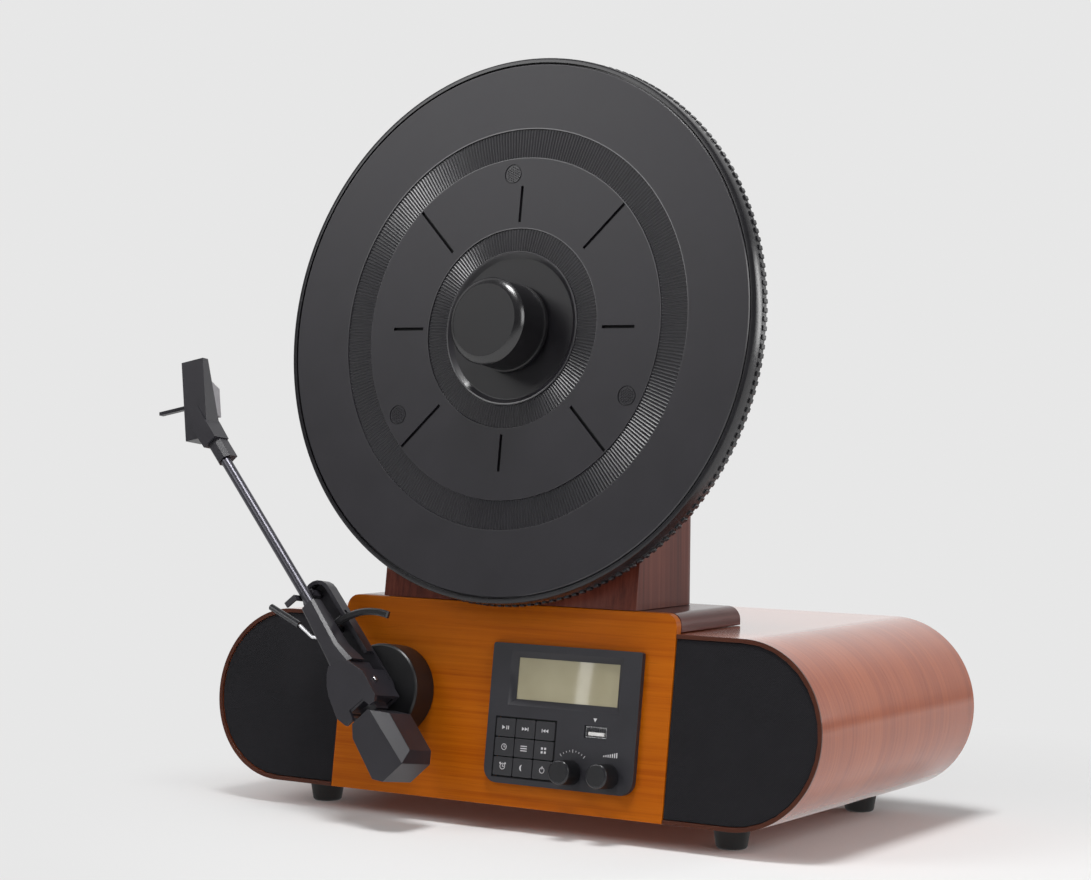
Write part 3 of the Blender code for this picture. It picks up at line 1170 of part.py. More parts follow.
def add_cartridge(head, grey, steel):
    """A moving-magnet cartridge: its body fills the headshell, its wider foot follows the walls."""
    span = centred(CARTRIDGE_FORWARD, CARTRIDGE_LENGTH)
    seat = HEAD_FRONT - HEAD_WALL - TOUCH_GAP
    inner, outer = (centred(0, width) for width in CARTRIDGE_WIDTHS)
    upper = [(x, y, head_back(x) - CARTRIDGE_SKIRT_GAP) for x, y, _ in rectangle(span, outer, 0)]
    lower = rectangle((span[0], span[1] - CARTRIDGE_NOSE), inner, -CARTRIDGE_BACK)
    body = add("cartridge", block(span, inner, (upper[0][2] - TOUCH_GAP, seat)), grey, head)
    foot = loft(upper, lower)
    shape_with(body, foot, "UNION")
    top = -CARTRIDGE_BACK - TOUCH_GAP
    base, tip = (centred(STYLUS_FORWARD, size) for size in (STYLUS_BASE, STYLUS_TIP))
    wide, fine = (centred(0, size) for size in (STYLUS_BASE, STYLUS_TIP))
    add("stylus", loft(rectangle(base, wide, top), rectangle(tip, fine, top - STYLUS_LENGTH)), steel, head)


def centre_on_floor(root):
    """Moves the whole player so that the origin is the middle of its footprint, on the floor."""
    bpy.context.view_layer.update()
    graph = bpy.context.evaluated_depsgraph_get()
    corners = []
    for obj in bpy.context.scene.objects:
        if obj.type in ("MESH", "CURVE") and not obj.hide_render:
            shown = obj.evaluated_get(graph)
            mesh = shown.to_mesh()
            corners += [shown.matrix_world @ vert.co for vert in mesh.vertices]
            shown.to_mesh_clear()
    low = [min(corner[axis] for corner in corners) for axis in range(3)]
    high = [max(corner[axis] for corner in corners) for axis in range(3)]
    root.location = (-(low[0] + high[0]) / 2, -(low[1] + high[1]) / 2, -low[2])


def main():
    for obj in list(bpy.data.objects):
        bpy.data.objects.remove(obj, do_unlink=True)
    red_wood = material("red_wood", (0.24, 0.085, 0.04), 0.32)
    honey_wood = material("honey_wood", (0.36, 0.13, 0.025), 0.38)
    dark_wood = material("dark_wood", (0.15, 0.055, 0.035), 0.36)
    cloth = material("grille_cloth", (0.018, 0.017, 0.020), 0.95)
    fibreboard = material("fibreboard", (0.06, 0.045, 0.035), 0.80)
    black = material("black_plastic", (0.045, 0.042, 0.050), 0.45)
    rubber = material("black_rubber", (0.020, 0.020, 0.020), 0.80)
    mat_rubber = material("mat_rubber", (0.050, 0.048, 0.054), 0.55)
    grey = material("grey_plastic", (0.16, 0.15, 0.17), 0.50)
    gunmetal = material("gunmetal", (0.16, 0.16, 0.19), 0.25, 1.0)
    platter_metal = material("platter_metal", (0.050, 0.048, 0.054), 0.35, 1.0)
    weight_metal = material("weight_metal", (0.045, 0.042, 0.050), 0.45)
    steel = material("steel", (0.55, 0.55, 0.56), 0.30, 1.0)
    brass = material("brass", (0.55, 0.40, 0.18), 0.35, 1.0)
    glass = material("display_glass", (0.32, 0.30, 0.20), 0.10)
    green = material("circuit_board", (0.02, 0.10, 0.04), 0.60)

    root = empty("player")
    front = empty("front_frame", root, turn=(math.pi / 2 - LEAN, 0, 0))
    turntable = empty("platter_axis", front, at=(0, PLATTER_CENTRE_UP, 0))
    arm_turn = (0, 0, math.pi / 2 + ARM_REST_ANGLE)
    arm = empty("arm_frame", front, at=(ARM_X, ARM_UP, 0), turn=arm_turn)
    swing = empty("arm_swing_axis", arm)
    hinge = empty("arm_tilt_axis", swing, at=(-TILT_BACK, 0, ARM_AXIS_OUT))
    tilt = empty("tilting_pieces", hinge, at=(TILT_BACK, 0, 0))

    add_cabinet(root, red_wood)
    add_front_panel(root, honey_wood, front)
    add_grilles(root, cloth)
    add_speakers(front, black, add_baffle(root, fibreboard, front))
    add_back(root, fibreboard, steel, black, green)
    add_feet(root, rubber)
    add_plinth(root, red_wood)
    add_tower(root, dark_wood, front)
    add_platter(turntable, platter_metal)
    add_mat(turntable, mat_rubber)
    add_drive(turntable, front, steel, black, rubber, brass)
    add_clamp(turntable, black)
    add_fascia(front, black)
    add_keys(front, black)
    add_knobs(front, black, steel)
    add_display(front, glass, black, green)
    add_usb(front, steel)
    add_arm_base(front, black)
    add_rest_plate(arm, black)
    add_clip(arm, black)
    add_lift(arm, black)
    add_lever(arm, steel, rubber)
    add_yoke(swing, black, steel)
    add_hub(tilt, black)
    add_carrier_and_tube(tilt, black, gunmetal)
    add_weight(tilt, weight_metal)
    add_head(tilt, black, steel, grey)
    centre_on_floor(root)


main()
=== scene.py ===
# %% [markdown]
# # A vertical record player
# The platter of this player stands upright on a wooden tower, and a tonearm swings in front of
# it. The shapes come as a fixed frame. This file gives them their finishes, and adds the fine
# details. Every piece keeps the frame's own metres, so it is placed by the same sizes that made
# the frame.

import json
import math

import bmesh
import bpy
from mathutils import Matrix, Vector


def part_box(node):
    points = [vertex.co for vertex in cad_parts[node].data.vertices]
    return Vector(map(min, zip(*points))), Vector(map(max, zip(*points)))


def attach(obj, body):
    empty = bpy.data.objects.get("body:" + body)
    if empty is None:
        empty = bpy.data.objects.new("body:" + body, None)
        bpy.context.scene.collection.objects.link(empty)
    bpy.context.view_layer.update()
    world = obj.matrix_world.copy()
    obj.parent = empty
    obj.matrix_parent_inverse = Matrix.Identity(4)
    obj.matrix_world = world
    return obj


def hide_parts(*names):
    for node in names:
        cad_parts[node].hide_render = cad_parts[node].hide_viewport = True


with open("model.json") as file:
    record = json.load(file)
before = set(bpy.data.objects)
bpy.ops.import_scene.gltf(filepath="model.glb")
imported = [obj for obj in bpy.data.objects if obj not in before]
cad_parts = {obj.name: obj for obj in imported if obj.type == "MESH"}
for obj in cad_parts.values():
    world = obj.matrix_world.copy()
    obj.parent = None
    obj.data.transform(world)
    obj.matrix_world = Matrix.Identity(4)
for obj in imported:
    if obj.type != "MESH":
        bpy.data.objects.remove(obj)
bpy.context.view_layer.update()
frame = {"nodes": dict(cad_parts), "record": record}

# %% [markdown]
# ## Where things are
# Most of the player sits on a front that leans back by 7.6 degrees. Each place on it could be
# turned by sines and cosines, but it is simpler to work in that front's own directions: x to the
# right, y up the lean, z straight out of it. One matrix turns all such places into the player's.
# The arm has its own directions too: x along the tube, and y to the side. These first sizes are in
# metres, as the frame's are, and what is added to it is written in millimetres.

# %% The leaning front, the platter's axis and the arm
LEAN = math.radians(7.6)
CABINET_BACK_Y = 0.1964
PLATTER_UP = 0.2688
ARM_PLACE = (-0.0670, 0.0698, 0)
ARM_TURN = math.radians(132.3)
mm = 0.001


def by(x, y, z):
    """A matrix that moves by millimetres."""
    return Matrix.Translation((x * mm, y * mm, z * mm))


low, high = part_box("cabinet_shell")
shift = Vector(((low.x + high.x) / 2, high.y - CABINET_BACK_Y, 0))
front = Matrix.Translation(shift) @ Matrix.Rotation(math.pi / 2 - LEAN, 4, "X")
platter = front @ Matrix.Translation((0, PLATTER_UP, 0))
arm = front @ Matrix.Translation(ARM_PLACE) @ Matrix.Rotation(ARM_TURN, 4, "Z")
print("shift", tuple(shift), "platter at", tuple(platter.translation))

# %% [markdown]
# ## The camera
# The photograph was taken from the player's right, at the height of its middle, with a long lens.
# These values were solved from the platter's ellipse and the cabinet's edges. A camera could be
# aimed by a constraint, but this one is also rolled by half a degree, so its three directions are
# worked out and become the columns of its matrix.

# %% Place the camera
CAMERA_AT = Vector((0.7390, -1.0802, 0.2229))
AZIMUTH, PITCH, ROLL = (math.radians(angle) for angle in (33.10, -0.62, 0.64))
LENS, SENSOR = 80.94, 36
flat = math.cos(PITCH)
ahead = Vector((-math.sin(AZIMUTH) * flat, math.cos(AZIMUTH) * flat, math.sin(PITCH)))
level = Vector((math.cos(AZIMUTH), math.sin(AZIMUTH), 0))
upward = level.cross(ahead)
right = level * math.cos(ROLL) + upward * math.sin(ROLL)
above = upward * math.cos(ROLL) - level * math.sin(ROLL)
turned = Matrix((right, above, -ahead)).transposed().to_4x4()
camera = bpy.data.objects.new("camera", bpy.data.cameras.new("camera"))
camera.data.lens, camera.data.sensor_width = LENS, SENSOR
camera.matrix_world = Matrix.Translation(CAMERA_AT + shift) @ turned
bpy.context.scene.collection.objects.link(camera)
bpy.context.scene.camera = camera
bpy.context.scene.view_settings.view_transform = "Standard"
print("camera at", tuple(camera.matrix_world.translation))

# %% [markdown]
# ## Shader maths as plain sums
# A material's pattern is worked out by nodes. They could be added and linked one by one, but then
# the sum that they make is hard to see. Wrapping a socket in a small class lets Python's own
# signs add those nodes, so a pattern reads like the sum that it is.

# %% A socket that adds up
class Value:
    """One output of a node. Arithmetic on it adds Math nodes."""

    def __init__(self, finish, socket):
        self.finish, self.socket = finish, socket

    def math(self, operation, *others):
        inputs = dict(enumerate((self, *others)))
        return self.finish.node("Math", {"operation": operation}, inputs)

    def __add__(self, other):
        return self.math("ADD", other)

    def __sub__(self, other):
        return self.math("SUBTRACT", other)

    def __mul__(self, other):
        return self.math("MULTIPLY", other)

    def __truediv__(self, other):
        return self.math("DIVIDE", other)

    def __rsub__(self, other):
        return self.finish.node("Math", {"operation": "SUBTRACT"}, {0: other, 1: self})

    __radd__, __rmul__ = __add__, __mul__


# %% A tree of nodes
class Nodes:
    """A tree of nodes, with short calls that add to it."""

    def __init__(self, tree):
        self.tree = tree

    def feed(self, socket, value):
        if isinstance(value, Value):
            self.tree.links.new(value.socket, socket)
        else:
            whole = isinstance(value, tuple) and len(value) == 3 and socket.type == "RGBA"
            socket.default_value = (*value, 1) if whole else value

    def node(self, kind, settings=None, inputs=None, output=0):
        made = self.tree.nodes.new("ShaderNode" + kind)
        for name, value in (settings or {}).items():
            if name == "stops":
                ramp = made.color_ramp.elements
                while len(ramp) < len(value):
                    ramp.new(0.5)
                for stop, (place, colour) in zip(ramp, value):
                    stop.position, stop.color = place, (*colour, 1)
            else:
                setattr(made, name, value)
        for name, value in (inputs or {}).items():
            self.feed(made.inputs[name], value)
        return Value(self, made.outputs[output])

    def step(self, value, start, end, low=0.0, high=1.0):
        """A smooth rise from low to high while the value goes from start to end."""
        settings = {"interpolation_type": "SMOOTHSTEP"}
        return self.node("MapRange", settings, {0: value, 1: start, 2: end, 3: low, 4: high})

    def rays(self):
        """Masks of the rays that look at the backdrop, and of those that gloss sends there."""
        camera, glossy, through = (
            self.node("LightPath", output=f"Is {kind} Ray")
            for kind in ("Camera", "Glossy", "Transmission")
        )
        return camera.math("MAXIMUM", through), glossy


# %% A finish, which is a material of one shader
class Finish(Nodes):
    """A material of one shader. The shader's constant sockets are given by their names."""

    def __init__(self, name, **constants):
        self.material = bpy.data.materials.new(name)
        self.material.use_nodes = True
        super().__init__(self.material.node_tree)
        self.shader = self.tree.nodes["Principled BSDF"]
        for socket, value in constants.items():
            self.set(socket.replace("_", " "), value)

    def set(self, socket, value):
        names = {name.lower(): name for name in self.shader.inputs.keys()}
        self.feed(self.shader.inputs[names[socket.lower()]], value)

    def place(self, matrix=None):
        """x, y and z on the piece, in metres, or in the directions of a frame such as the front."""
        spot = self.node("TexCoord", output="Object")
        if matrix:
            back = matrix.inverted()
            move, turn = tuple(back.translation), tuple(back.to_euler())
            spot = self.node("Mapping", None, {0: spot, 1: move, 2: turn})
        return [self.node("SeparateXYZ", None, {0: spot}, axis) for axis in range(3)]

    def vector(self, x, y, z):
        return self.node("CombineXYZ", None, {0: x, 1: y, 2: z})

    def stretched(self, place, rates):
        """A place whose x, y and z each run on at a rate of their own, per metre."""
        return self.vector(*(part * rate for part, rate in zip(place, rates)))

    def noise(self, vector, scale=1.0, detail=3.0, roughness=0.5, distortion=0.0):
        inputs = {"Vector": vector, "Scale": scale, "Detail": detail, "Roughness": roughness}
        return self.node("TexNoise", None, {**inputs, "Distortion": distortion})

    def ramp(self, value, *stops):
        return self.node("ValToRGB", {"stops": stops}, {0: value})

    def mix(self, share, first, second):
        return self.node("Mix", {"data_type": "RGBA"}, {0: share, 6: first, 7: second}, 2)

    def bump(self, height, distance, strength):
        inputs = {"Height": height, "Distance": distance, "Strength": strength}
        self.set("Normal", self.node("Bump", None, inputs))


def shades(colour, *gains):
    """The same colour darker or paler, once for each gain."""
    return [tuple(part * gain for part in colour) for gain in gains]


# %% [markdown]
# ## Varnished veneer
# The cabinet is wrapped in a reddish veneer whose grain runs round its ends, the middle board is
# honey-coloured with level grain, and the tower with its plinth is darker. A picture of wood
# would repeat itself and stop at the edges, so the wood is worked out at each place instead. One
# recipe serves all of them: noise that is drawn out along the grain for fine streaks, a slow
# noise for the clouds in the colour, thin dark lines where growth rings meet the surface, and
# short dashes for pores. A clear coat over it is the varnish.

# %% The veneer recipe
CLOUD_RATE, PORE_RATE = 0.09, 6
LINE_WANDER, LINE_SHARPNESS = 16.0, 9.0
STAIN, STAIN_START, STAIN_FULL = (0.030, 0.010, 0.006), -0.0014, -0.0005


def veneer(name, stretch, tones, rings, coat, specular=0.15, contrast=0.05, stained_edge=False):
    """Make a wood finish. Its pattern runs at the rates of stretch, and its growth lines at those
    of rings, per metre along x, y and z. The tones go from dark to pale, and contrast is the
    lines' share in them. A stained edge is darker where it lies in the front's own plane."""
    finish = Finish(name, coat_weight=coat, coat_roughness=0.13, specular_ior_level=specular)
    x, y, z = finish.place()
    spot = finish.stretched((x, y, z), stretch)
    streaks = finish.noise(spot, detail=6.0, roughness=0.62, distortion=0.2)
    cloud = finish.noise(spot, CLOUD_RATE, detail=2.0)
    across = x * rings[0] + y * rings[1] + z * rings[2]
    wave = (across + cloud * LINE_WANDER).math("SINE") * 0.5 + 0.5
    lines = wave.math("POWER", LINE_SHARPNESS)
    tone = streaks * 0.60 + cloud * 0.40 - lines * contrast
    dark, middle, pale = tones
    wood = finish.ramp(tone, (0.36, dark), (0.49, middle), (0.66, pale))
    dashes = finish.noise(
        finish.stretched((x, y, z), [rate * PORE_RATE for rate in stretch]), detail=2.0
    )
    pores = finish.step(dashes, 0.60, 0.72)
    wood = finish.mix(pores * 0.4, wood, *shades(dark, 0.5))
    if stained_edge:
        out = finish.place(front)[2]
        stained = finish.step(out, STAIN_START, STAIN_FULL, 0.0, 0.85)
        wood = finish.mix(stained, wood, STAIN)
    finish.set("Base Color", wood)
    finish.set("Roughness", 0.36 + streaks * 0.10 + pores * 0.15)
    finish.bump(1 - pores - lines * 0.3, 0.00003, 0.4)
    print("veneer:", name)
    return finish.material


# %% Four woods from the one recipe
ALONG, ACROSS = 7, 430
red_veneer = veneer(
    "red_veneer", (6, 420, 6),
    ((0.262, 0.050, 0.013), (0.335, 0.071, 0.020), (0.410, 0.100, 0.030)),
    rings=(0, 1400, 0), coat=1.0, stained_edge=True,
)
honey_veneer = veneer(
    "honey_veneer", (ALONG, 0, 420),
    ((0.360, 0.072, 0.001), (0.445, 0.104, 0.002), (0.520, 0.135, 0.004)),
    rings=(0, 0, 700), coat=0.05, specular=0.1,
)
dark_veneer = veneer(
    "dark_veneer", (ACROSS, ACROSS, ALONG),
    ((0.068, 0.014, 0.008), (0.120, 0.027, 0.016), (0.175, 0.046, 0.028)),
    rings=(900, 900, 0), coat=0.25, contrast=0.02,
)
plinth_veneer = veneer(
    "plinth_veneer", (ACROSS, ALONG, ACROSS),
    ((0.085, 0.017, 0.011), (0.120, 0.026, 0.018), (0.150, 0.038, 0.027)),
    rings=(900, 0, 900), coat=0.5,
)

# %% [markdown]
# ## Cloth
# The speaker ends are covered in black cloth. Its threads are about a millimetre apart, so they
# show only as a fine broken sheen. Real threads would take millions of faces, so two crossed sine
# waves stand for the warp and the weft, and noise stands for the fuzz on them.

# %% The cloth recipe
THREAD, FUZZ_RATE, CLOTH_CLOUD_RATE = 0.0011, 1400, 60


def speaker_cloth(name):
    """Make the cloth's finish, with its threads level and upright on the front."""
    finish = Finish(name, roughness=0.95, specular_ior_level=0.15)
    finish.set("Sheen Weight", 0.08)
    finish.set("Sheen Roughness", 0.5)
    x, y, _ = finish.place(front)
    turns = math.tau / THREAD
    warp, weft = (x * turns).math("SINE"), (y * turns).math("SINE")
    weave = warp * weft * 0.5 + 0.5
    fuzz = finish.noise(finish.vector(x * FUZZ_RATE, y * FUZZ_RATE, 0), detail=2.0)
    cloud = finish.noise(finish.vector(x * CLOTH_CLOUD_RATE, y * CLOTH_CLOUD_RATE, 0))
    tone = weave * 0.5 + fuzz * 0.35 + cloud * 0.15
    black = finish.ramp(tone, (0.2, (0.006, 0.006, 0.007)), (0.8, (0.021, 0.020, 0.024)))
    finish.set("Base Color", black)
    finish.bump(weave + fuzz * 0.5, 0.00018, 0.7)
    return finish.material


cloth = speaker_cloth("speaker_cloth")
print("cloth with threads of", THREAD / mm, "mm")

# %% [markdown]
# ## Rubber, moulded plastic and metal
# Moulded parts have a spark-eroded grain: a fine bump that breaks up the highlights, with a
# little cloudiness in the colour. One flat colour would look like paint, and a mesh can't hold
# such a fine grain, so noise gives both. Handling polishes the mat in narrow rings, and a clear
# coat that is there only at those radii draws their bright lines. Metal is brushed: its noise is
# drawn out one way.

# %% The moulded recipe
CLOUD_SCALE = 45
RING_BLUR, SHADE_BLUR = 0.1, 0.2


def moulded(name, colour, roughness, grain=0.00003, fineness=1500, specular=0.5, worn=()):
    """Make a moulded finish. grain is the depth of its pits in metres, and fineness their number
    per metre. worn lists rings round the platter's axis, in millimetres, that wear has polished.
    Inside the first of them the colour is darkened, as painted shade for the clamp's shadow."""
    finish = Finish(name, specular_ior_level=specular, coat_roughness=0.17)
    spot = finish.vector(*finish.place())
    pits = finish.noise(spot, fineness, detail=2.0, roughness=0.6)
    cloud = finish.noise(spot, CLOUD_SCALE, roughness=0.55)
    dark, pale = shades(colour, 0.84, 1.16)
    tone = finish.ramp(cloud * 0.7 + pits * 0.3, (0.3, dark), (0.7, pale))
    finish.set("Base Color", tone)
    finish.set("Roughness", roughness - 0.06 + pits * 0.08 + cloud * 0.06)
    finish.bump(pits, grain, 0.6)
    if worn:
        x, y, _ = finish.place(platter)
        radius = (x * x + y * y).math("SQRT") / mm
        rings = [
            finish.step(radius, start, start + RING_BLUR)
            - finish.step(radius, end, end + RING_BLUR)
            for start, end in worn
        ]
        finish.set("Coat Weight", sum(rings[1:], rings[0]))
        # Painted shade: inside the first ring the colour goes part way to black, for the clamp's
        # shadow on the label.
        shade_edge = worn[0][0]
        painted_label_shade = finish.step(radius, shade_edge, shade_edge + SHADE_BLUR, 0.55, 0.0)
        finish.set("Base Color", finish.mix(painted_label_shade, tone, (0.0, 0.0, 0.0)))
    return finish.material


# %% The metal recipe
def metal(name, colour, roughness, brushing=(900, 900, 40), matrix=None, scratches=0.00001):
    """Make a metal finish. brushing is how fast its lines change per metre along x, y and z."""
    finish = Finish(name, metallic=1.0)
    lines = finish.noise(finish.stretched(finish.place(matrix), brushing), roughness=0.6)
    dark, pale = shades(colour, 0.86, 1.10)
    finish.set("Base Color", finish.ramp(lines, (0.3, dark), (0.7, pale)))
    finish.set("Roughness", roughness - 0.05 + lines * 0.10)
    finish.bump(lines, scratches, 0.4)
    return finish.material


# %% Black plastics and rubbers
fascia_plastic = moulded("fascia_plastic", (0.024, 0.0235, 0.029), 0.42)
key_plastic = moulded("key_plastic", (0.024, 0.024, 0.028), 0.55, 0.00006, 1800)
arm_plastic = moulded("arm_plastic", (0.022, 0.0205, 0.026), 0.38)
base_plastic = moulded("base_plastic", (0.008, 0.008, 0.009), 0.34)
clamp_plastic = moulded("clamp_plastic", (0.008, 0.0075, 0.009), 0.40)
gloss_black = moulded("gloss_black", (0.010, 0.0095, 0.011), 0.24, 0.000003, 900, 0.9)
knob_plastic = moulded("knob_plastic", (0.013, 0.013, 0.015), 0.36)
knob_edge = moulded("knob_edge", (0.020, 0.020, 0.023), 0.20, 0.000005)
platter_finish = moulded("platter_finish", (0.016, 0.0155, 0.018), 0.24, 0.00001, 700)
WORN = ((38.6, 42.3), (54.2, 54.9), (93.2, 93.9), (109.3, 110.0), (144.9, 146.0))
mat_rubber = moulded("mat_rubber", (0.0165, 0.0150, 0.0195), 0.38, 0.00002, 1100, worn=WORN)
rib_rubber = moulded("rib_rubber", (0.014, 0.0135, 0.017), 0.36, 0.000005, 1100)
pad_rubber = moulded("pad_rubber", (0.022, 0.021, 0.025), 0.28, 0.00001, 900)
foot_rubber = moulded("foot_rubber", (0.008, 0.008, 0.008), 0.60, 0.00006, 900)
grip_rubber = moulded("grip_rubber", (0.035, 0.035, 0.040), 0.28, 0.00001)
print("the mat is worn in", len(WORN), "rings")

# %% Boards, pale plastics, ink and metals
fibreboard = moulded("fibreboard", (0.020, 0.018, 0.017), 0.85, 0.00015, 500, 0.2)
circuit_green = moulded("circuit_green", (0.015, 0.080, 0.030), 0.50)
cartridge_plastic = moulded("cartridge_plastic", (0.30, 0.29, 0.31), 0.45)
white_plastic = moulded("white_plastic", (0.80, 0.79, 0.77), 0.45, 0.00001)
pale_ink = moulded("pale_ink", (0.62, 0.61, 0.63), 0.55, 0.00001)
black_line = moulded("black_line", (0.004, 0.004, 0.005), 0.60, 0.00001, 900, 0.2)
steel = metal("steel", (0.62, 0.62, 0.64), 0.28)
brass = metal("brass", (0.55, 0.40, 0.18), 0.35)
gunmetal = metal("gunmetal", (0.110, 0.108, 0.124), 0.36, (6, 200, 200), arm, scratches=0.0)
print(len(bpy.data.materials), "finishes so far")

# %% [markdown]
# ## The display
# The display is off. Its glass shows the greenish beige of the cells behind it, and mirrors a
# softbox as a pale upright band. The band could be painted on, but then it would stay put when
# the view changes, so a smooth coat mirrors a real lamp instead.

# %% The display's glass
CELL_RATE = 40
display = Finish("display_glass", roughness=0.35, coat_weight=1.0, coat_roughness=0.03)
x, y, _ = display.place(front)
cells = display.noise(display.vector(x * CELL_RATE, y * CELL_RATE, 0), detail=2.0)
beige = display.ramp(cells, (0.3, (0.375, 0.335, 0.215)), (0.7, (0.425, 0.385, 0.255)))
display.set("Base Color", beige)
print("display:", display.material.name)

# %% [markdown]
# ## What is made of what
# The frame's nodes come plain. A table from each finish to its nodes is easier to read than a
# line for each node, and it shows at once if a node was forgotten.

# %% Give every node of the frame its finish
KEYS = [f"key_{number}" for number in range(1, 10)]
FEET = [f"foot_{end}_{side}" for end in ("front", "rear") for side in ("left", "right")]
FINISHES = {
    red_veneer: ["cabinet_shell"],
    plinth_veneer: ["tower_plinth"],
    honey_veneer: ["front_panel"],
    dark_veneer: ["tower"],
    cloth: ["grille_left", "grille_right"],
    fibreboard: ["baffle", "back_panel"],
    fascia_plastic: ["control_fascia", "tune_knob", "volume_knob", "lcd_module"],
    key_plastic: KEYS,
    arm_plastic: [
        "arm_hub", "arm_carrier", "headshell", "counterweight", "gimbal_yoke", "arm_rest_plate",
        "arm_clip",
    ],
    gloss_black: ["lift_arc"],
    base_plastic: ["arm_base", "dc_inlet", "speaker_left", "speaker_right", "sub_platter"],
    clamp_plastic: ["record_clamp"],
    cartridge_plastic: ["cartridge"],
    mat_rubber: ["platter_mat"],
    platter_finish: ["platter"],
    foot_rubber: [*FEET, "drive_belt"],
    grip_rubber: ["cue_lever_grip"],
    circuit_green: ["main_board", "control_board"],
    steel: [
        "spindle", "motor", "cue_lever", "tilt_pin", "stylus", "usb_socket", "line_out", "tune_pot",
        "volume_pot",
    ],
    brass: ["bearing_housing", "motor_pulley"],
    gunmetal: ["arm_tube"],
    display.material: ["lcd_window"],
}
for finish, names in FINISHES.items():
    for name in names:
        mesh = frame["nodes"][name].data
        mesh.materials.clear()
        mesh.materials.append(finish)
dressed = {name for names in FINISHES.values() for name in names}
print("nodes without a finish:", sorted(set(frame["nodes"]) - dressed))

# %% [markdown]
# ## Making pieces
# A new piece is shaped in the directions that suit it, such as the platter's, and then carried to
# its place by that frame's matrix. The matrix could be left on the object, but a pattern that
# follows the object would turn with it, so it goes into the mesh. The piece rides on one body of
# the player, so it moves with it. Edges that meet at an angle are kept sharp in the shading, and
# the rest is smooth.

# %% From a bmesh to a piece that rides on a body
BODY_OF = {
    node: body
    for body, nodes in frame["record"]["behaviour"]["bodies"].items()
    for node in nodes
}


def piece(name, bm, finish, body, stands_for=(), place=None, crease=32):
    """Make an object of a bmesh, which rides on a body and may stand in for nodes. Edges sharper
    than crease, in degrees, stay sharp in the shading."""
    if place:
        bmesh.ops.transform(bm, matrix=place, verts=bm.verts)
    bmesh.ops.recalc_face_normals(bm, faces=bm.faces)
    mesh = bpy.data.meshes.new(name)
    bm.to_mesh(mesh)
    bm.free()
    mesh.materials.append(finish)
    mesh.shade_smooth()
    mesh.set_sharp_from_angle(angle=math.radians(crease))
    made = bpy.data.objects.new(name, mesh)
    bpy.context.scene.collection.objects.link(made)
    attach(made, body)
    if stands_for:
        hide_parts(*stands_for)
    print(name, "rides on", body, "with", len(mesh.polygons), "faces")
    return made


def shade_evenly(made):
    """Let the large faces set the shading, so that a flat one next to a round edge looks flat."""
    weighted = made.modifiers.new("even shading", "WEIGHTED_NORMAL")
    weighted.keep_sharp = True


# %% Rounding the edges of a bmesh
def soften(bm, width, segments=3, angle=28):
    """Round the outer edges that are sharper than an angle."""
    sharp = [edge for edge in bm.edges if edge.is_manifold and edge.is_convex]
    sharp = [edge for edge in sharp if edge.calc_face_angle() > math.radians(angle)]
    bmesh.ops.bevel(
        bm, geom=sharp, offset=width, offset_type="OFFSET", affect="EDGES", segments=segments,
        profile=0.5, material=-1, clamp_overlap=True,
    )
    return len(sharp)


# %% [markdown]
# ## Edges that catch the light
# A moulded or sanded edge is never perfectly sharp: it has a small round that draws a bright line
# where it turns to a lamp. A shader can fake that round, but the exported model would lose it.
# The frame's solids have sharp edges, so the ones that show are copied. A copy is merged into
# whole faces, its outer edges are rounded, and it stands in for its node. The cabinet's
# half-round ends also get finer, because their facets would break up the varnish's reflections.

# %% Finer half-round ends for the cabinet
END_X, END_UP, END_RADIUS = 146.0, 61.7, 48.2
LONGEST_STEP, TOUCHING, FLATTEST = 12, 0.02, 0.9


def spoke(point):
    """The way to a point from the axis of the half-round end that it belongs to."""
    x = abs(point.x - shift.x) - END_X * mm
    return Vector((math.copysign(max(x, 0), point.x - shift.x), 0, point.z - END_UP * mm))


def lies_on_end(point):
    """Whether a point already touches the outside of its half-round end."""
    return abs(spoke(point).length - END_RADIUS * mm) < TOUCHING * mm


def refine_ends(bm):
    """Divide the short edges that follow the outer half-rounds, and push the new points out."""
    arcs = []
    for edge in bm.edges:
        first, last = (vert.co for vert in edge.verts)
        follows = abs(first.x - last.x) + abs(first.z - last.z) > abs(first.y - last.y)
        short = edge.calc_length() < LONGEST_STEP * mm
        if short and follows and lies_on_end(first) and lies_on_end(last):
            arcs.append(edge)
    bmesh.ops.subdivide_edges(bm, edges=arcs, cuts=3)
    moved = 0
    for vert in bm.verts:
        missing = END_RADIUS * mm - spoke(vert.co).length
        if 0.004 * mm < missing < FLATTEST * mm:
            vert.co += spoke(vert.co).normalized() * missing
            moved += 1
    print(len(arcs), "arc edges divided,", moved, "points pushed out")


# %% Copies of nodes with rounded edges
def rounded_copy(node, width):
    """Copy a node, round its outer edges, and let the copy stand in for it."""
    bm = bmesh.new()
    bm.from_mesh(frame["nodes"][node].data)
    bmesh.ops.remove_doubles(bm, verts=bm.verts, dist=0.002 * mm)
    bmesh.ops.dissolve_limit(bm, angle_limit=math.radians(0.8), verts=bm.verts, edges=bm.edges)
    if node == "cabinet_shell":
        refine_ends(bm)
    print(soften(bm, width), "edges rounded by", width / mm, "mm:")
    finish = frame["nodes"][node].data.materials[0]
    shade_evenly(piece(f"{node}_finished", bm, finish, BODY_OF[node], (node,), crease=38))


ROUNDINGS = {
    0.7: ["lift_arc"],
    0.6: ["cabinet_shell", "tower", "tower_plinth"],
    0.4: ["front_panel", "counterweight", *FEET],
    0.3: [
        "arm_hub", "arm_carrier", "arm_base", "control_fascia", "headshell", "back_panel",
        "grille_left", "grille_right",
    ],
    0.25: ["gimbal_yoke", "arm_rest_plate", "arm_clip", "cartridge", *KEYS],
}
for width, nodes in ROUNDINGS.items():
    for node in nodes:
        rounded_copy(node, width * mm)

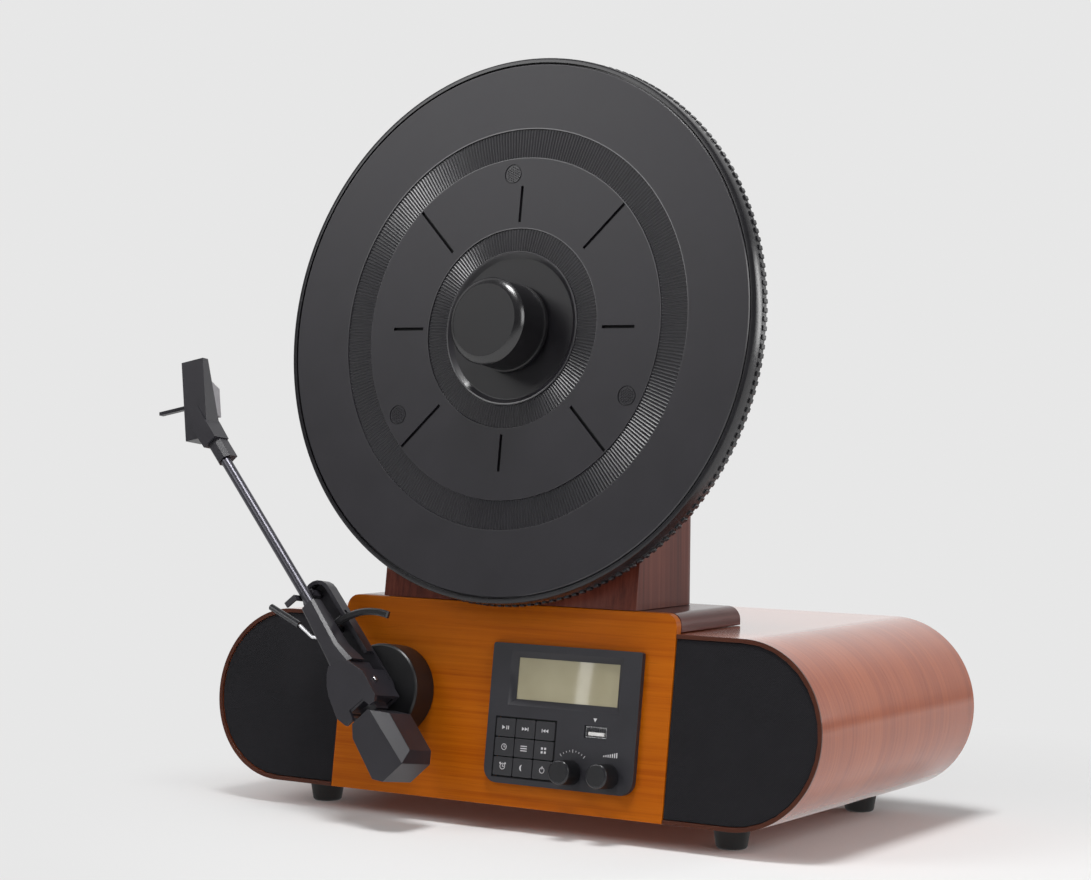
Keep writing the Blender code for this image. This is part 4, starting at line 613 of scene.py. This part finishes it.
# %% [markdown]
# ## Turned pieces
# The platter, mat, clamp and knobs are round, so each is a profile of radius and height that is
# spun about its axis, as on a lathe. A cylinder with parts added to it would need many joints,
# and a spun profile has none. The spin's last step is merged with its first, and its poles are
# closed.

# %% The lathe
ABOUT_Z = {"cent": (0, 0, 0), "axis": (0, 0, 1)}


def lathe(profile, steps=128):
    """Spin (radius, height) points in millimetres round z into a closed body."""
    bm = bmesh.new()
    points = [bm.verts.new((radius * mm, 0, height * mm)) for radius, height in profile]
    edges = [bm.edges.new(pair) for pair in zip(points, points[1:])]
    if profile[0][0] or profile[-1][0]:
        edges.append(bm.edges.new((points[-1], points[0])))
    bmesh.ops.spin(
        bm, geom=points + edges, angle=math.tau, steps=steps, use_merge=True, **ABOUT_Z
    )
    bmesh.ops.remove_doubles(bm, verts=bm.verts, dist=0.001 * mm)
    return bm


# %% Blocks, and ways to place and repeat them
def around(bm, count):
    """Repeat what a bmesh holds evenly round z."""
    everything = bm.verts[:] + bm.edges[:] + bm.faces[:]
    bmesh.ops.spin(
        bm, geom=everything, angle=math.tau * (count - 1) / count, steps=count - 1,
        use_duplicate=True, use_merge=False, use_normal_flip=False, **ABOUT_Z,
    )


def slide(bm, verts, x, y, z=0):
    """Move some points by millimetres."""
    bmesh.ops.translate(bm, vec=(x * mm, y * mm, z * mm), verts=verts)


def swing(bm, verts, degrees):
    """Turn some points round z."""
    turn = Matrix.Rotation(math.radians(degrees), 3, "Z")
    bmesh.ops.rotate(bm, cent=(0, 0, 0), matrix=turn, verts=verts)


def bar(bm, low, high, taper=1.0):
    """Add a block between two corners in millimetres, whose front may be narrower."""
    size = [top - bottom for bottom, top in zip(low, high)]
    middle = [(top + bottom) / 2 for bottom, top in zip(low, high)]
    verts = bmesh.ops.create_cube(bm, size=mm)["verts"]
    for vert in verts:
        if vert.co.z > 0:
            vert.co.y *= taper
    bmesh.ops.scale(bm, vec=size, verts=verts)
    bmesh.ops.translate(bm, vec=Vector(middle) * mm, verts=verts)
    return verts


def stub(bm, foot, top, depth, sides):
    """Add a short block with a number of sides, from its two radii and its depth."""
    return bmesh.ops.create_cone(
        bm, cap_ends=True, segments=sides, radius1=foot * mm, radius2=top * mm, depth=depth * mm
    )["verts"]


# %% [markdown]
# ## The platter
# Its rim is a smooth band, with a ring of small teeth behind it for a strobe or for the fingers.
# In front a narrow lip keeps the mat in its seat. The teeth could be drawn by a bump, but they
# show against the background, so one tooth is modelled and repeated.

# %% Spin the platter
RIM, BACK, FRONT, BORE = 149.0, 6.2, 18.2, 4.3
LIP, SEAT = RIM - 2.6, FRONT - 2.5
TOOTH_BAND = BACK + 4.0
platter_bm = lathe([
    (BORE, BACK), (RIM, BACK), (RIM, TOOTH_BAND), (RIM - 0.25, TOOTH_BAND + 0.2),
    (RIM, TOOTH_BAND + 0.4), (RIM, FRONT - 1.0), (RIM - 0.3, FRONT - 0.3), (RIM - 1.0, FRONT),
    (LIP, FRONT), (LIP, SEAT), (BORE, SEAT),
], 192)
piece("platter_disc", platter_bm, platter_finish, "turntable", ("platter",), platter)

# %% Its teeth
TEETH, TOOTH_HALF = 198, 1.3
teeth = bmesh.new()
bar(teeth, (RIM - 0.3, -TOOTH_HALF, BACK + 0.05), (RIM + 0.9, TOOTH_HALF, TOOTH_BAND - 0.2))
soften(teeth, 0.35 * mm, 1)
around(teeth, TEETH)
piece("platter_teeth", teeth, platter_finish, "turntable", (), platter)

# %% [markdown]
# ## The mat
# The mat is moulded rubber: a sunken label area with a sloped edge, two channels full of fine
# ribs, eight slots between them, and three hatched pads. The round forms are spun. The slots and
# the pads' hollows are cut by a Boolean, since they cross the round face at their own angles. The
# ribs are one bar each, repeated round the axis, so that each catches the light from its own
# side.

# %% Cut one bmesh by another
def cut(bm, cutter):
    """Take one shape away from another. Both are used up, and what is left comes back."""
    holders = []
    for shape in (bm, cutter):
        mesh = bpy.data.meshes.new("cut")
        shape.to_mesh(mesh)
        shape.free()
        holders.append(bpy.data.objects.new("cut", mesh))
        bpy.context.scene.collection.objects.link(holders[-1])
    boolean = holders[0].modifiers.new("cut", "BOOLEAN")
    boolean.operation, boolean.object, boolean.solver = "DIFFERENCE", holders[1], "EXACT"
    result = bmesh.new()
    result.from_object(holders[0], bpy.context.evaluated_depsgraph_get())
    for holder in holders:
        bpy.data.objects.remove(holder)
    return result


# %% The mat's profile, from its edge to its bore
MAT_EDGE, MAT_BACK = 145.6, FRONT - 2.3
LABEL, LABEL_FLOOR = 41.2, FRONT - 1.9
CHANNELS, CHANNEL_FLOOR, CHANNEL_SLOPE = ((42.1, 54.5), (93.6, 109.5)), FRONT - 0.8, 0.25
profile = [(BORE, MAT_BACK), (MAT_EDGE, MAT_BACK), (MAT_EDGE, FRONT - 0.5), (MAT_EDGE - 0.5, FRONT)]
for inner, outer in reversed(CHANNELS):
    profile += [(outer, FRONT), (outer - CHANNEL_SLOPE, CHANNEL_FLOOR)]
    profile += [(inner + CHANNEL_SLOPE, CHANNEL_FLOOR), (inner, FRONT)]
profile += [(LABEL, FRONT), (LABEL - 0.3, FRONT - 0.12), (LABEL - 2.3, FRONT - 1.74)]
profile += [(LABEL - 2.7, LABEL_FLOOR), (BORE, LABEL_FLOOR)]
print("the mat's profile has", len(profile), "points")

# %% Its slots: short and long ones take turns
SLOTS = [
    (quarter * 90 + turn, start, end)
    for quarter in range(4)
    for turn, start, end in ((0, 58, 78), (45, 60, 93))
]


def slot_bars(bm, half, gap, low, high):
    """Add a bar in each slot, between two heights. A gap stays free at its ends."""
    for turn, start, end in SLOTS:
        swing(bm, bar(bm, (start + gap, -half, low), (end - gap, half, high)), turn)


cutters = bmesh.new()
slot_bars(cutters, 0.85, 0, FRONT - 2.0, FRONT + 1)
print(len(SLOTS), "slots")

# %% The pads' hollows, and the mat itself
PAD_ANGLES, PAD_AT, HOLLOW = (94.5, 214.5, 334.5), 85, 5.5
for angle in PAD_ANGLES:
    hole = stub(cutters, HOLLOW, HOLLOW, 1, 48)
    slide(cutters, hole, PAD_AT, 0, FRONT)
    swing(cutters, hole, angle)
mat = cut(lathe(profile, 160), cutters)
soften(mat, 0.24 * mm, 3, 50)
shade_evenly(piece("mat", mat, mat_rubber, "turntable", ("platter_mat",), platter))

# %% Painted shade: black bars low in the slots, where there is only shadow
slot_shade_bars = bmesh.new()
slot_bars(slot_shade_bars, 0.8, 0.1, FRONT - 2.1, FRONT - 1.5)
piece("mat_slot_painted_shade", slot_shade_bars, black_line, "turntable", (), platter)

# %% Ribs in both channels
RIB_COUNTS, RIB_SHARE, RIB_TAPER, RIB_GAP = (180, 360), 0.84, 0.10, 0.3
for (inner, outer), count in zip(CHANNELS, RIB_COUNTS):
    ribs = bmesh.new()
    half = math.pi * inner / count * RIB_SHARE
    foot, crest = (inner + RIB_GAP, -half, FRONT - 0.85), (outer - RIB_GAP, half, FRONT - 0.33)
    bar(ribs, foot, crest, RIB_TAPER)
    around(ribs, count)
    piece(f"mat_ribs_{count}", ribs, rib_rubber, "turntable", (), platter)

# %% Three hatched pads
# How far apart the bumps are, how much closer their rows, and how far out they reach.
HATCH, ROW_SHARE, HATCH_REACH = 1.35, 0.87, 4.2
pads = bmesh.new()
for row in range(-4, 5):
    for column in range(-3, 4):
        x, y = (column + row % 2 / 2) * HATCH, row * HATCH * ROW_SHARE
        if math.hypot(x, y) < HATCH_REACH:
            slide(pads, stub(pads, 0.66, 0.22, 0.6, 4), x + PAD_AT, y, FRONT + 0.1)
slide(pads, stub(pads, 4.9, 4.7, 0.4, 40), PAD_AT, 0, FRONT - 0.28)
swing(pads, pads.verts, PAD_ANGLES[0])
around(pads, len(PAD_ANGLES))
piece("mat_pads", pads, pad_rubber, "turntable", (), platter)

# %% [markdown]
# ## The record clamp
# A heavy turned puck. Its front edge is a wide polished round, which is what the lamps draw as a
# bright crescent. A bevel would give that edge the puck's own dull finish, so the edge is a ring
# of its own with a glossier one. The rear has a thin flange.

# %% Spin the clamp
CLAMP, FACE = 23.5, 43.9
clamp = lathe([
    (0, 18.6), (24.3, 18.6), (24.3, 20.6), (CLAMP, 20.9), (CLAMP, 40.6), (19.7, 43.0), (19.7, FACE),
    (0, FACE),
])
bore = lathe([(0, 17), (4.0, 17), (4.0, 28.3), (0, 28.3)], 48)
piece("clamp_puck", cut(clamp, bore), clamp_plastic, "clamp", ("record_clamp",), platter, 40)

# %% Spin its polished edge
EDGE_X, EDGE_Z, EDGE_ROUND = 17.3, 37.0, 7.3
turns = [math.radians(60 - 5 * step) for step in range(9)]
curve = [
    (EDGE_X + EDGE_ROUND * math.sin(turn), EDGE_Z + EDGE_ROUND * math.cos(turn)) for turn in turns
]
edge = lathe([(23.4, 40.5), (23.6, 40.5), *curve, (19.6, 43.95), (19.6, 42.9)])
piece("clamp_edge", edge, gloss_black, "clamp", (), platter, 40)

# %% [markdown]
# ## The arm's tube
# The tube is drawn metal: a long cylinder with one clean highlight. The frame's tube has flat
# facets, which would break that highlight up. Smooth shading alone would leave its outline
# faceted, so a finely turned one takes its place.

# %% Turn the tube and lay it along the arm
TUBE_OUT, TUBE_START, TUBE_END, TUBE_RADIUS = 33.5, 45, 175, 3
along = arm @ by(0, 0, TUBE_OUT) @ Matrix.Rotation(math.pi / 2, 4, "Y")
tube = lathe([
    (0, TUBE_START), (TUBE_RADIUS, TUBE_START), (TUBE_RADIUS, TUBE_END), (0, TUBE_END)
], 64)
piece("arm_tube_drawn", tube, gunmetal, "arm", ("arm_tube",), along)

# %% [markdown]
# ## Knobs
# Two plain knobs stand on the plate. Their sides have a fine grip, and the edge round each face
# is polished, so the lamps draw a thin crescent on it. The grip is one small ridge, repeated
# round the knob, because a bump would leave the knob's outline smooth.

# %% Knobs with a grip and a polished edge
KNOB_UP, KNOBS = 35, {"tune": 51.9, "volume": 75.0}
KNOB_EDGE, KNOB_RIM, KNOB_ROUND = 14.9, 6.5, 1.1
RIDGES, RIDGE_HALF = 60, 0.16
for name, x in KNOBS.items():
    at = front @ by(x, KNOB_UP, 0)
    cap = lathe([
        (0, -4), (3.1, -4), (3.1, 3.9), (6.3, 3.9), (6.3, 15.1), (5.6, 15.6), (5.5, 15.9), (0, 15.9)
    ], 72)
    piece(f"{name}_knob_cap", cap, knob_plastic, name, (f"{name}_knob",), at, 40)
    curve = [
        (KNOB_RIM - KNOB_ROUND * (1 - math.cos(turn)), KNOB_EDGE + KNOB_ROUND * math.sin(turn))
        for turn in (0.0, 0.4, 0.8, 1.2, 1.57)
    ]
    ring = lathe([(6.25, 14.7), *curve, (5.2, 15.95), (5.2, 15.6)], 72)
    piece(f"{name}_knob_ring", ring, knob_edge, name, (), at, 40)
    grip = bmesh.new()
    bar(grip, (6.0, -RIDGE_HALF, 0), (KNOB_RIM, RIDGE_HALF, 10.8))
    slide(grip, grip.verts, 0, 0, 4.1)
    around(grip, RIDGES)
    piece(f"{name}_knob_grip", grip, knob_plastic, name, (), at)

# %% [markdown]
# ## Printed marks
# Each key has a plain sign in pale ink, and so have the socket and the knobs. A sign could be
# drawn in the key's material, but as a piece of its own it stays crisp at any distance. Each is
# made of flat circles and strips that are given a twentieth of a millimetre of thickness.

# %% Flat shapes for signs
INK = 0.05


def strip(bm, x, y, width, height, turn=0.0):
    """Add a strip, turned about its middle and moved to its place."""
    verts = bmesh.ops.create_grid(bm, x_segments=1, y_segments=1, size=0.5 * mm)["verts"]
    bmesh.ops.scale(bm, vec=(width, height, 1), verts=verts)
    swing(bm, verts, turn)
    slide(bm, verts, x, y)


def disc_mark(bm, x, y, radius, sides=24, turn=0.0, hollow=0.0):
    """Add a disc, a ring where hollow gives its width, or a triangle where it has three sides."""
    verts = bmesh.ops.create_circle(
        bm, cap_ends=True, radius=radius * mm, segments=sides
    )["verts"]
    swing(bm, verts, turn)
    slide(bm, verts, x, y)
    if hollow:
        face = verts[0].link_faces[0]
        bmesh.ops.inset_region(bm, faces=[face], thickness=hollow * mm, use_boundary=True)
        bmesh.ops.delete(bm, geom=[face], context="FACES_ONLY")
    return verts


def print_marks(name, bm, body, x, up, out):
    """Give the flat shapes their thickness and lay them on a face of the front."""
    raised = bmesh.ops.extrude_face_region(bm, geom=bm.faces[:])["geom"]
    slide(bm, [part for part in raised if isinstance(part, bmesh.types.BMVert)], 0, 0, INK)
    piece(name, bm, pale_ink, body, (), front @ by(x, up, out))


# %% One sign for each key
def play(bm):
    disc_mark(bm, -1.5, 0, 1.25, 3, -90)
    for x in (0.8, 1.9):
        strip(bm, x, 0, 0.5, 2.0)


def skip(bm, way=1):
    for x in (-1.5, 0.3):
        disc_mark(bm, x * way, 0, 1.1, 3, -90 * way)
    strip(bm, 1.8 * way, 0, 0.45, 1.9)


def clock(bm):
    disc_mark(bm, 0, 0, 1.7, hollow=0.35)
    strip(bm, 0, 0.45, 0.35, 1.3)
    strip(bm, 0.45, -0.1, 1.1, 0.35)


def menu(bm):
    for y in (-1.2, 0, 1.2):
        strip(bm, 0, y, 4.0, 0.5)


def squares(bm):
    for x in (-1.0, 1.0):
        for y in (-1.0, 1.0):
            strip(bm, x, y, 1.2, 1.2)


def alarm(bm):
    clock(bm)
    for x in (-1.6, 1.6):
        disc_mark(bm, x, 1.6, 0.5)


def moon(bm):
    """Fold the right half of a disc back inside it, which leaves a crescent."""
    for vert in disc_mark(bm, 0, 0, 1.7, 32):
        if vert.co.x > 0:
            vert.co.x *= -0.45


def power(bm):
    disc_mark(bm, 0, -0.1, 1.6, hollow=0.35)
    strip(bm, 0, 1.3, 0.4, 1.7)


# %% Print them on the keys
KEYS_X, KEYS_UP, KEY_ACROSS, KEY_DOWN = 21.6, 45, 12.55, 10.3
KEY_FACE, PLATE_FACE = 3.62, 3.32
SIGNS = (play, skip, lambda bm: skip(bm, -1), clock, menu, squares, alarm, moon, power)
for number, (key, sign) in enumerate(zip(KEYS, SIGNS)):
    row, column = divmod(number, 3)
    bm = bmesh.new()
    sign(bm)
    x, up = KEYS_X + (column - 1) * KEY_ACROSS, KEYS_UP + (1 - row) * KEY_DOWN
    print_marks(f"{key}_mark", bm, key, x, up, KEY_FACE)

# %% Signs for the socket and the knobs
DIAL_X, DIAL_RADIUS = 52.2, 11.3
WEDGE_X, WEDGE_UP, WEDGE_STEP = 71.4, 45.2, 1.3
SOCKET_SIGN = (64.4, 63.6)
signs = bmesh.new()
disc_mark(signs, *SOCKET_SIGN, 1.3, 3, 180)
for step in range(9):
    degrees = 50 + step * 10
    x = DIAL_X + DIAL_RADIUS * math.cos(math.radians(degrees))
    y = KNOB_UP + DIAL_RADIUS * math.sin(math.radians(degrees))
    strip(signs, x, y, 0.3, 1.6 if step % 4 == 0 else 0.9, degrees - 90)
for step in range(7):
    strip(signs, WEDGE_X + step * WEDGE_STEP, WEDGE_UP + step * 0.16, 0.6, 0.8 + step * 0.32)
print_marks("plate_marks", signs, "base", 0, 0, PLATE_FACE)

# %% The dark line round the keys
BLOCK_X, BLOCK_UP, LINE, LINE_FLOOR = 19.2, 15.9, 0.3, 3.0
grooves = bmesh.new()
for up in (KEYS_UP - BLOCK_UP, KEYS_UP + BLOCK_UP):
    left, right = KEYS_X - BLOCK_X - 0.2, KEYS_X + BLOCK_X + 0.2
    bar(grooves, (left, up - LINE, LINE_FLOOR), (right, up + LINE, PLATE_FACE))
for x in (KEYS_X - BLOCK_X, KEYS_X + BLOCK_X):
    bottom, top = KEYS_UP - BLOCK_UP - LINE, KEYS_UP + BLOCK_UP + LINE
    bar(grooves, (x - LINE, bottom, LINE_FLOOR), (x + LINE, top, PLATE_FACE))
piece("key_block_line", grooves, black_line, "base", (), front)

# %% The white tongue in the USB socket
USB_X, USB_UP, TONGUE_X, TONGUE_UP = 65.0, 56.1, 4.9, 0.95
TONGUE_BACK, TONGUE_FRONT = -4, 2.2
tongue = bmesh.new()
low = (USB_X - TONGUE_X, USB_UP - TONGUE_UP, TONGUE_BACK)
high = (USB_X + TONGUE_X, USB_UP + TONGUE_UP, TONGUE_FRONT)
bar(tongue, low, high)
soften(tongue, 0.15 * mm, 2)
piece("usb_tongue", tongue, white_plastic, "base", (), front)

# %% [markdown]
# ## Small screws
# The pins of the gimbal have bright heads with a slot. The rest plate and the back panel are held
# by small cross-head screws. A dark cross drawn on a disc would look flat from the side, so the
# heads are turned and their slots are really cut. The two slots of a cross are cut one after the
# other, because a cutter that crosses itself leaves nothing of the head.

# %% A screw with a cross or a slot
LONG, THIN, SLOT_FLOOR = 0.62, 0.13, 0.25
PIN_HEAD, PLATE_HEAD, PANEL_HEAD = 1.5, 1.1, 2.4


def screw(name, radius, body, place, cross=True):
    """Turn a head, and cut one slot or a cross into it. LONG and THIN are shares of its radius."""
    head = lathe([
        (0, -0.3), (radius, -0.3), (radius, 0.15), (radius * 0.8, 0.5), (radius * 0.4, 0.66),
        (0, 0.7),
    ], 32)
    for x, y in ((LONG, THIN), (THIN, LONG))[: 2 if cross else 1]:
        recess = bmesh.new()
        bar(recess, (-radius * x, -radius * y, SLOT_FLOOR), (radius * x, radius * y, 2))
        head = cut(head, recess)
    piece(name, head, steel, body, (), place, 40)


# %% Screws of the arm
PIN_BACK, PIN_SIDE, PLATE_SCREW = -2, 10.6, (68.5, 4.0, 19.4)
for side, sign in (("right", -1), ("left", 1)):
    outward = Matrix.Rotation(-sign * math.pi / 2, 4, "X")
    place = arm @ by(PIN_BACK, sign * PIN_SIDE, TUBE_OUT) @ outward
    screw(f"tilt_pin_head_{side}", PIN_HEAD, "yoke", place, cross=False)
screw("plate_screw", PLATE_HEAD, "base", arm @ by(*PLATE_SCREW))

# %% Screws on the back panel
INSET, PROUD, ALONG_PANEL = 0.006, 0.0003, (-0.075, 0.0, 0.075)
panel_low, panel_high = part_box("back_panel")
facing_back = Matrix.Rotation(-math.pi / 2, 4, "X")
spots = [
    (x + shift.x, panel_high.y + PROUD, z)
    for x in ALONG_PANEL
    for z in (panel_low.z + INSET, panel_high.z - INSET)
]
for count, spot in enumerate(spots):
    screw(f"back_screw_{count}", PANEL_HEAD, "base", Matrix.Translation(spot) @ facing_back)

# %% [markdown]
# ## The studio
# The photograph has a pale, even background and a soft shadow. A plain floor would show a horizon
# and darken with distance. So the floor is lit only near the player, where it holds the shadow,
# and further out it fades into the backdrop's own grey.

# %% The floor's finish
BACKDROP, FLOOR_GREY = (0.80, 0.80, 0.80), (0.86, 0.86, 0.86)
FLOOR_MIDDLE, FADE_START, FADE_END = (0.15, 0.05, 0), 0.24, 0.46
floor_finish = Finish(
    "studio_floor", roughness=0.9, specular_ior_level=0.0, base_color=FLOOR_GREY
)
x, y, _ = floor_finish.place(Matrix.Translation(FLOOR_MIDDLE))
reach = (x * x + y * y).math("SQRT")
seen, glossy = floor_finish.rays()
plain = floor_finish.node("Emission", None, {"Color": BACKDROP})
lit = Value(floor_finish, floor_finish.shader.outputs[0])
share = seen * floor_finish.step(reach, FADE_START, FADE_END) + glossy * 0.5
blended = floor_finish.node("MixShader", None, {0: share, 1: lit, 2: plain})
floor_finish.feed(floor_finish.tree.nodes["Material Output"].inputs[0], blended)
print("the floor fades from", FADE_START, "to", FADE_END, "m")

# %% The floor
FLOOR_SIZE = 9
bm = bmesh.new()
bmesh.ops.create_grid(bm, x_segments=1, y_segments=1, size=FLOOR_SIZE)
mesh = bpy.data.meshes.new("floor")
bm.to_mesh(mesh)
bm.free()
mesh.materials.append(floor_finish.material)
floor = bpy.data.objects.new("floor", mesh)
bpy.context.scene.collection.objects.link(floor)
print("floor:", tuple(floor.dimensions))

# %% [markdown]
# ## The world
# The world is the backdrop. One grey all round would be mirrored by every gloss and turn black
# plastic grey. So what gloss mirrors depends on the direction: the pale paper hangs behind the
# player, and the room on the camera's side is dim. That is what keeps black plastic black.

# %% The world
AMBIENT, PAPER_WAY = 0.24, (-0.52, 0.80, 0.30)
world = bpy.data.worlds.new("studio")
world.use_nodes = True
bpy.context.scene.world = world
room = Nodes(world.node_tree)
direction = room.node("TexCoord", output="Generated")
facing = room.node(
    "VectorMath", {"operation": "DOT_PRODUCT"}, {0: direction, 1: PAPER_WAY}, "Value"
)
mirrored = room.step(facing, 0.35, 0.95, 0.10, 1.0)
seen, glossy = room.rays()
strength = AMBIENT + seen * (BACKDROP[0] - AMBIENT) + glossy * (mirrored - AMBIENT)
background = world.node_tree.nodes["Background"]
room.feed(background.inputs["Strength"], strength)
room.feed(background.inputs["Color"], (1, 1, 1))
print("ambient light", AMBIENT, "and backdrop", BACKDROP[0])

# %% [markdown]
# ## The lamps
# Four softboxes light the player, as in a studio, because small lamps would draw hard shadows.
# The strongest hangs overhead and draws the bright crescents on the clamp and the label's edge.
# The one behind on the right lights the sides of the arm. A narrow strip in front shows only as
# the pale band in the display's glass.

# %% The softboxes
def softbox(name, at, aim, size, power):
    """A rectangular lamp at a place, turned to face another."""
    lamp = bpy.data.lights.new(name, "AREA")
    lamp.shape, lamp.size, lamp.size_y, lamp.energy = "RECTANGLE", size[0], size[1], power
    holder = bpy.data.objects.new(name, lamp)
    holder.location = at
    holder.rotation_euler = (Vector(aim) - Vector(at)).to_track_quat("-Z", "Y").to_euler()
    holder.visible_camera = False
    bpy.context.scene.collection.objects.link(holder)
    print(name, "gives", power, "W")


GLASS = front @ Vector((0.053, 0.082, 0))
STRIP_AT = GLASS + Vector((-0.515, -0.82, 0.12)) * 1.2
LAMPS = (
    ("overhead", (0.19, -0.42, 1.72), (0, 0, 0.15), (0.46, 0.42), 17.5),
    ("left", (-1.15, -1.50, 1.35), (0, 0, 0.2), (1.0, 1.0), 11),
    ("behind", (1.05, 1.12, 0.5), (-0.1, 0, 0.3), (0.3, 0.6), 5),
    ("right", (1.60, -0.50, 0.80), (0, 0, 0.1), (0.6, 0.9), 7),
    ("strip", STRIP_AT, GLASS, (0.013, 0.5), 0.09),
)
for lamp in LAMPS:
    softbox(*lamp)
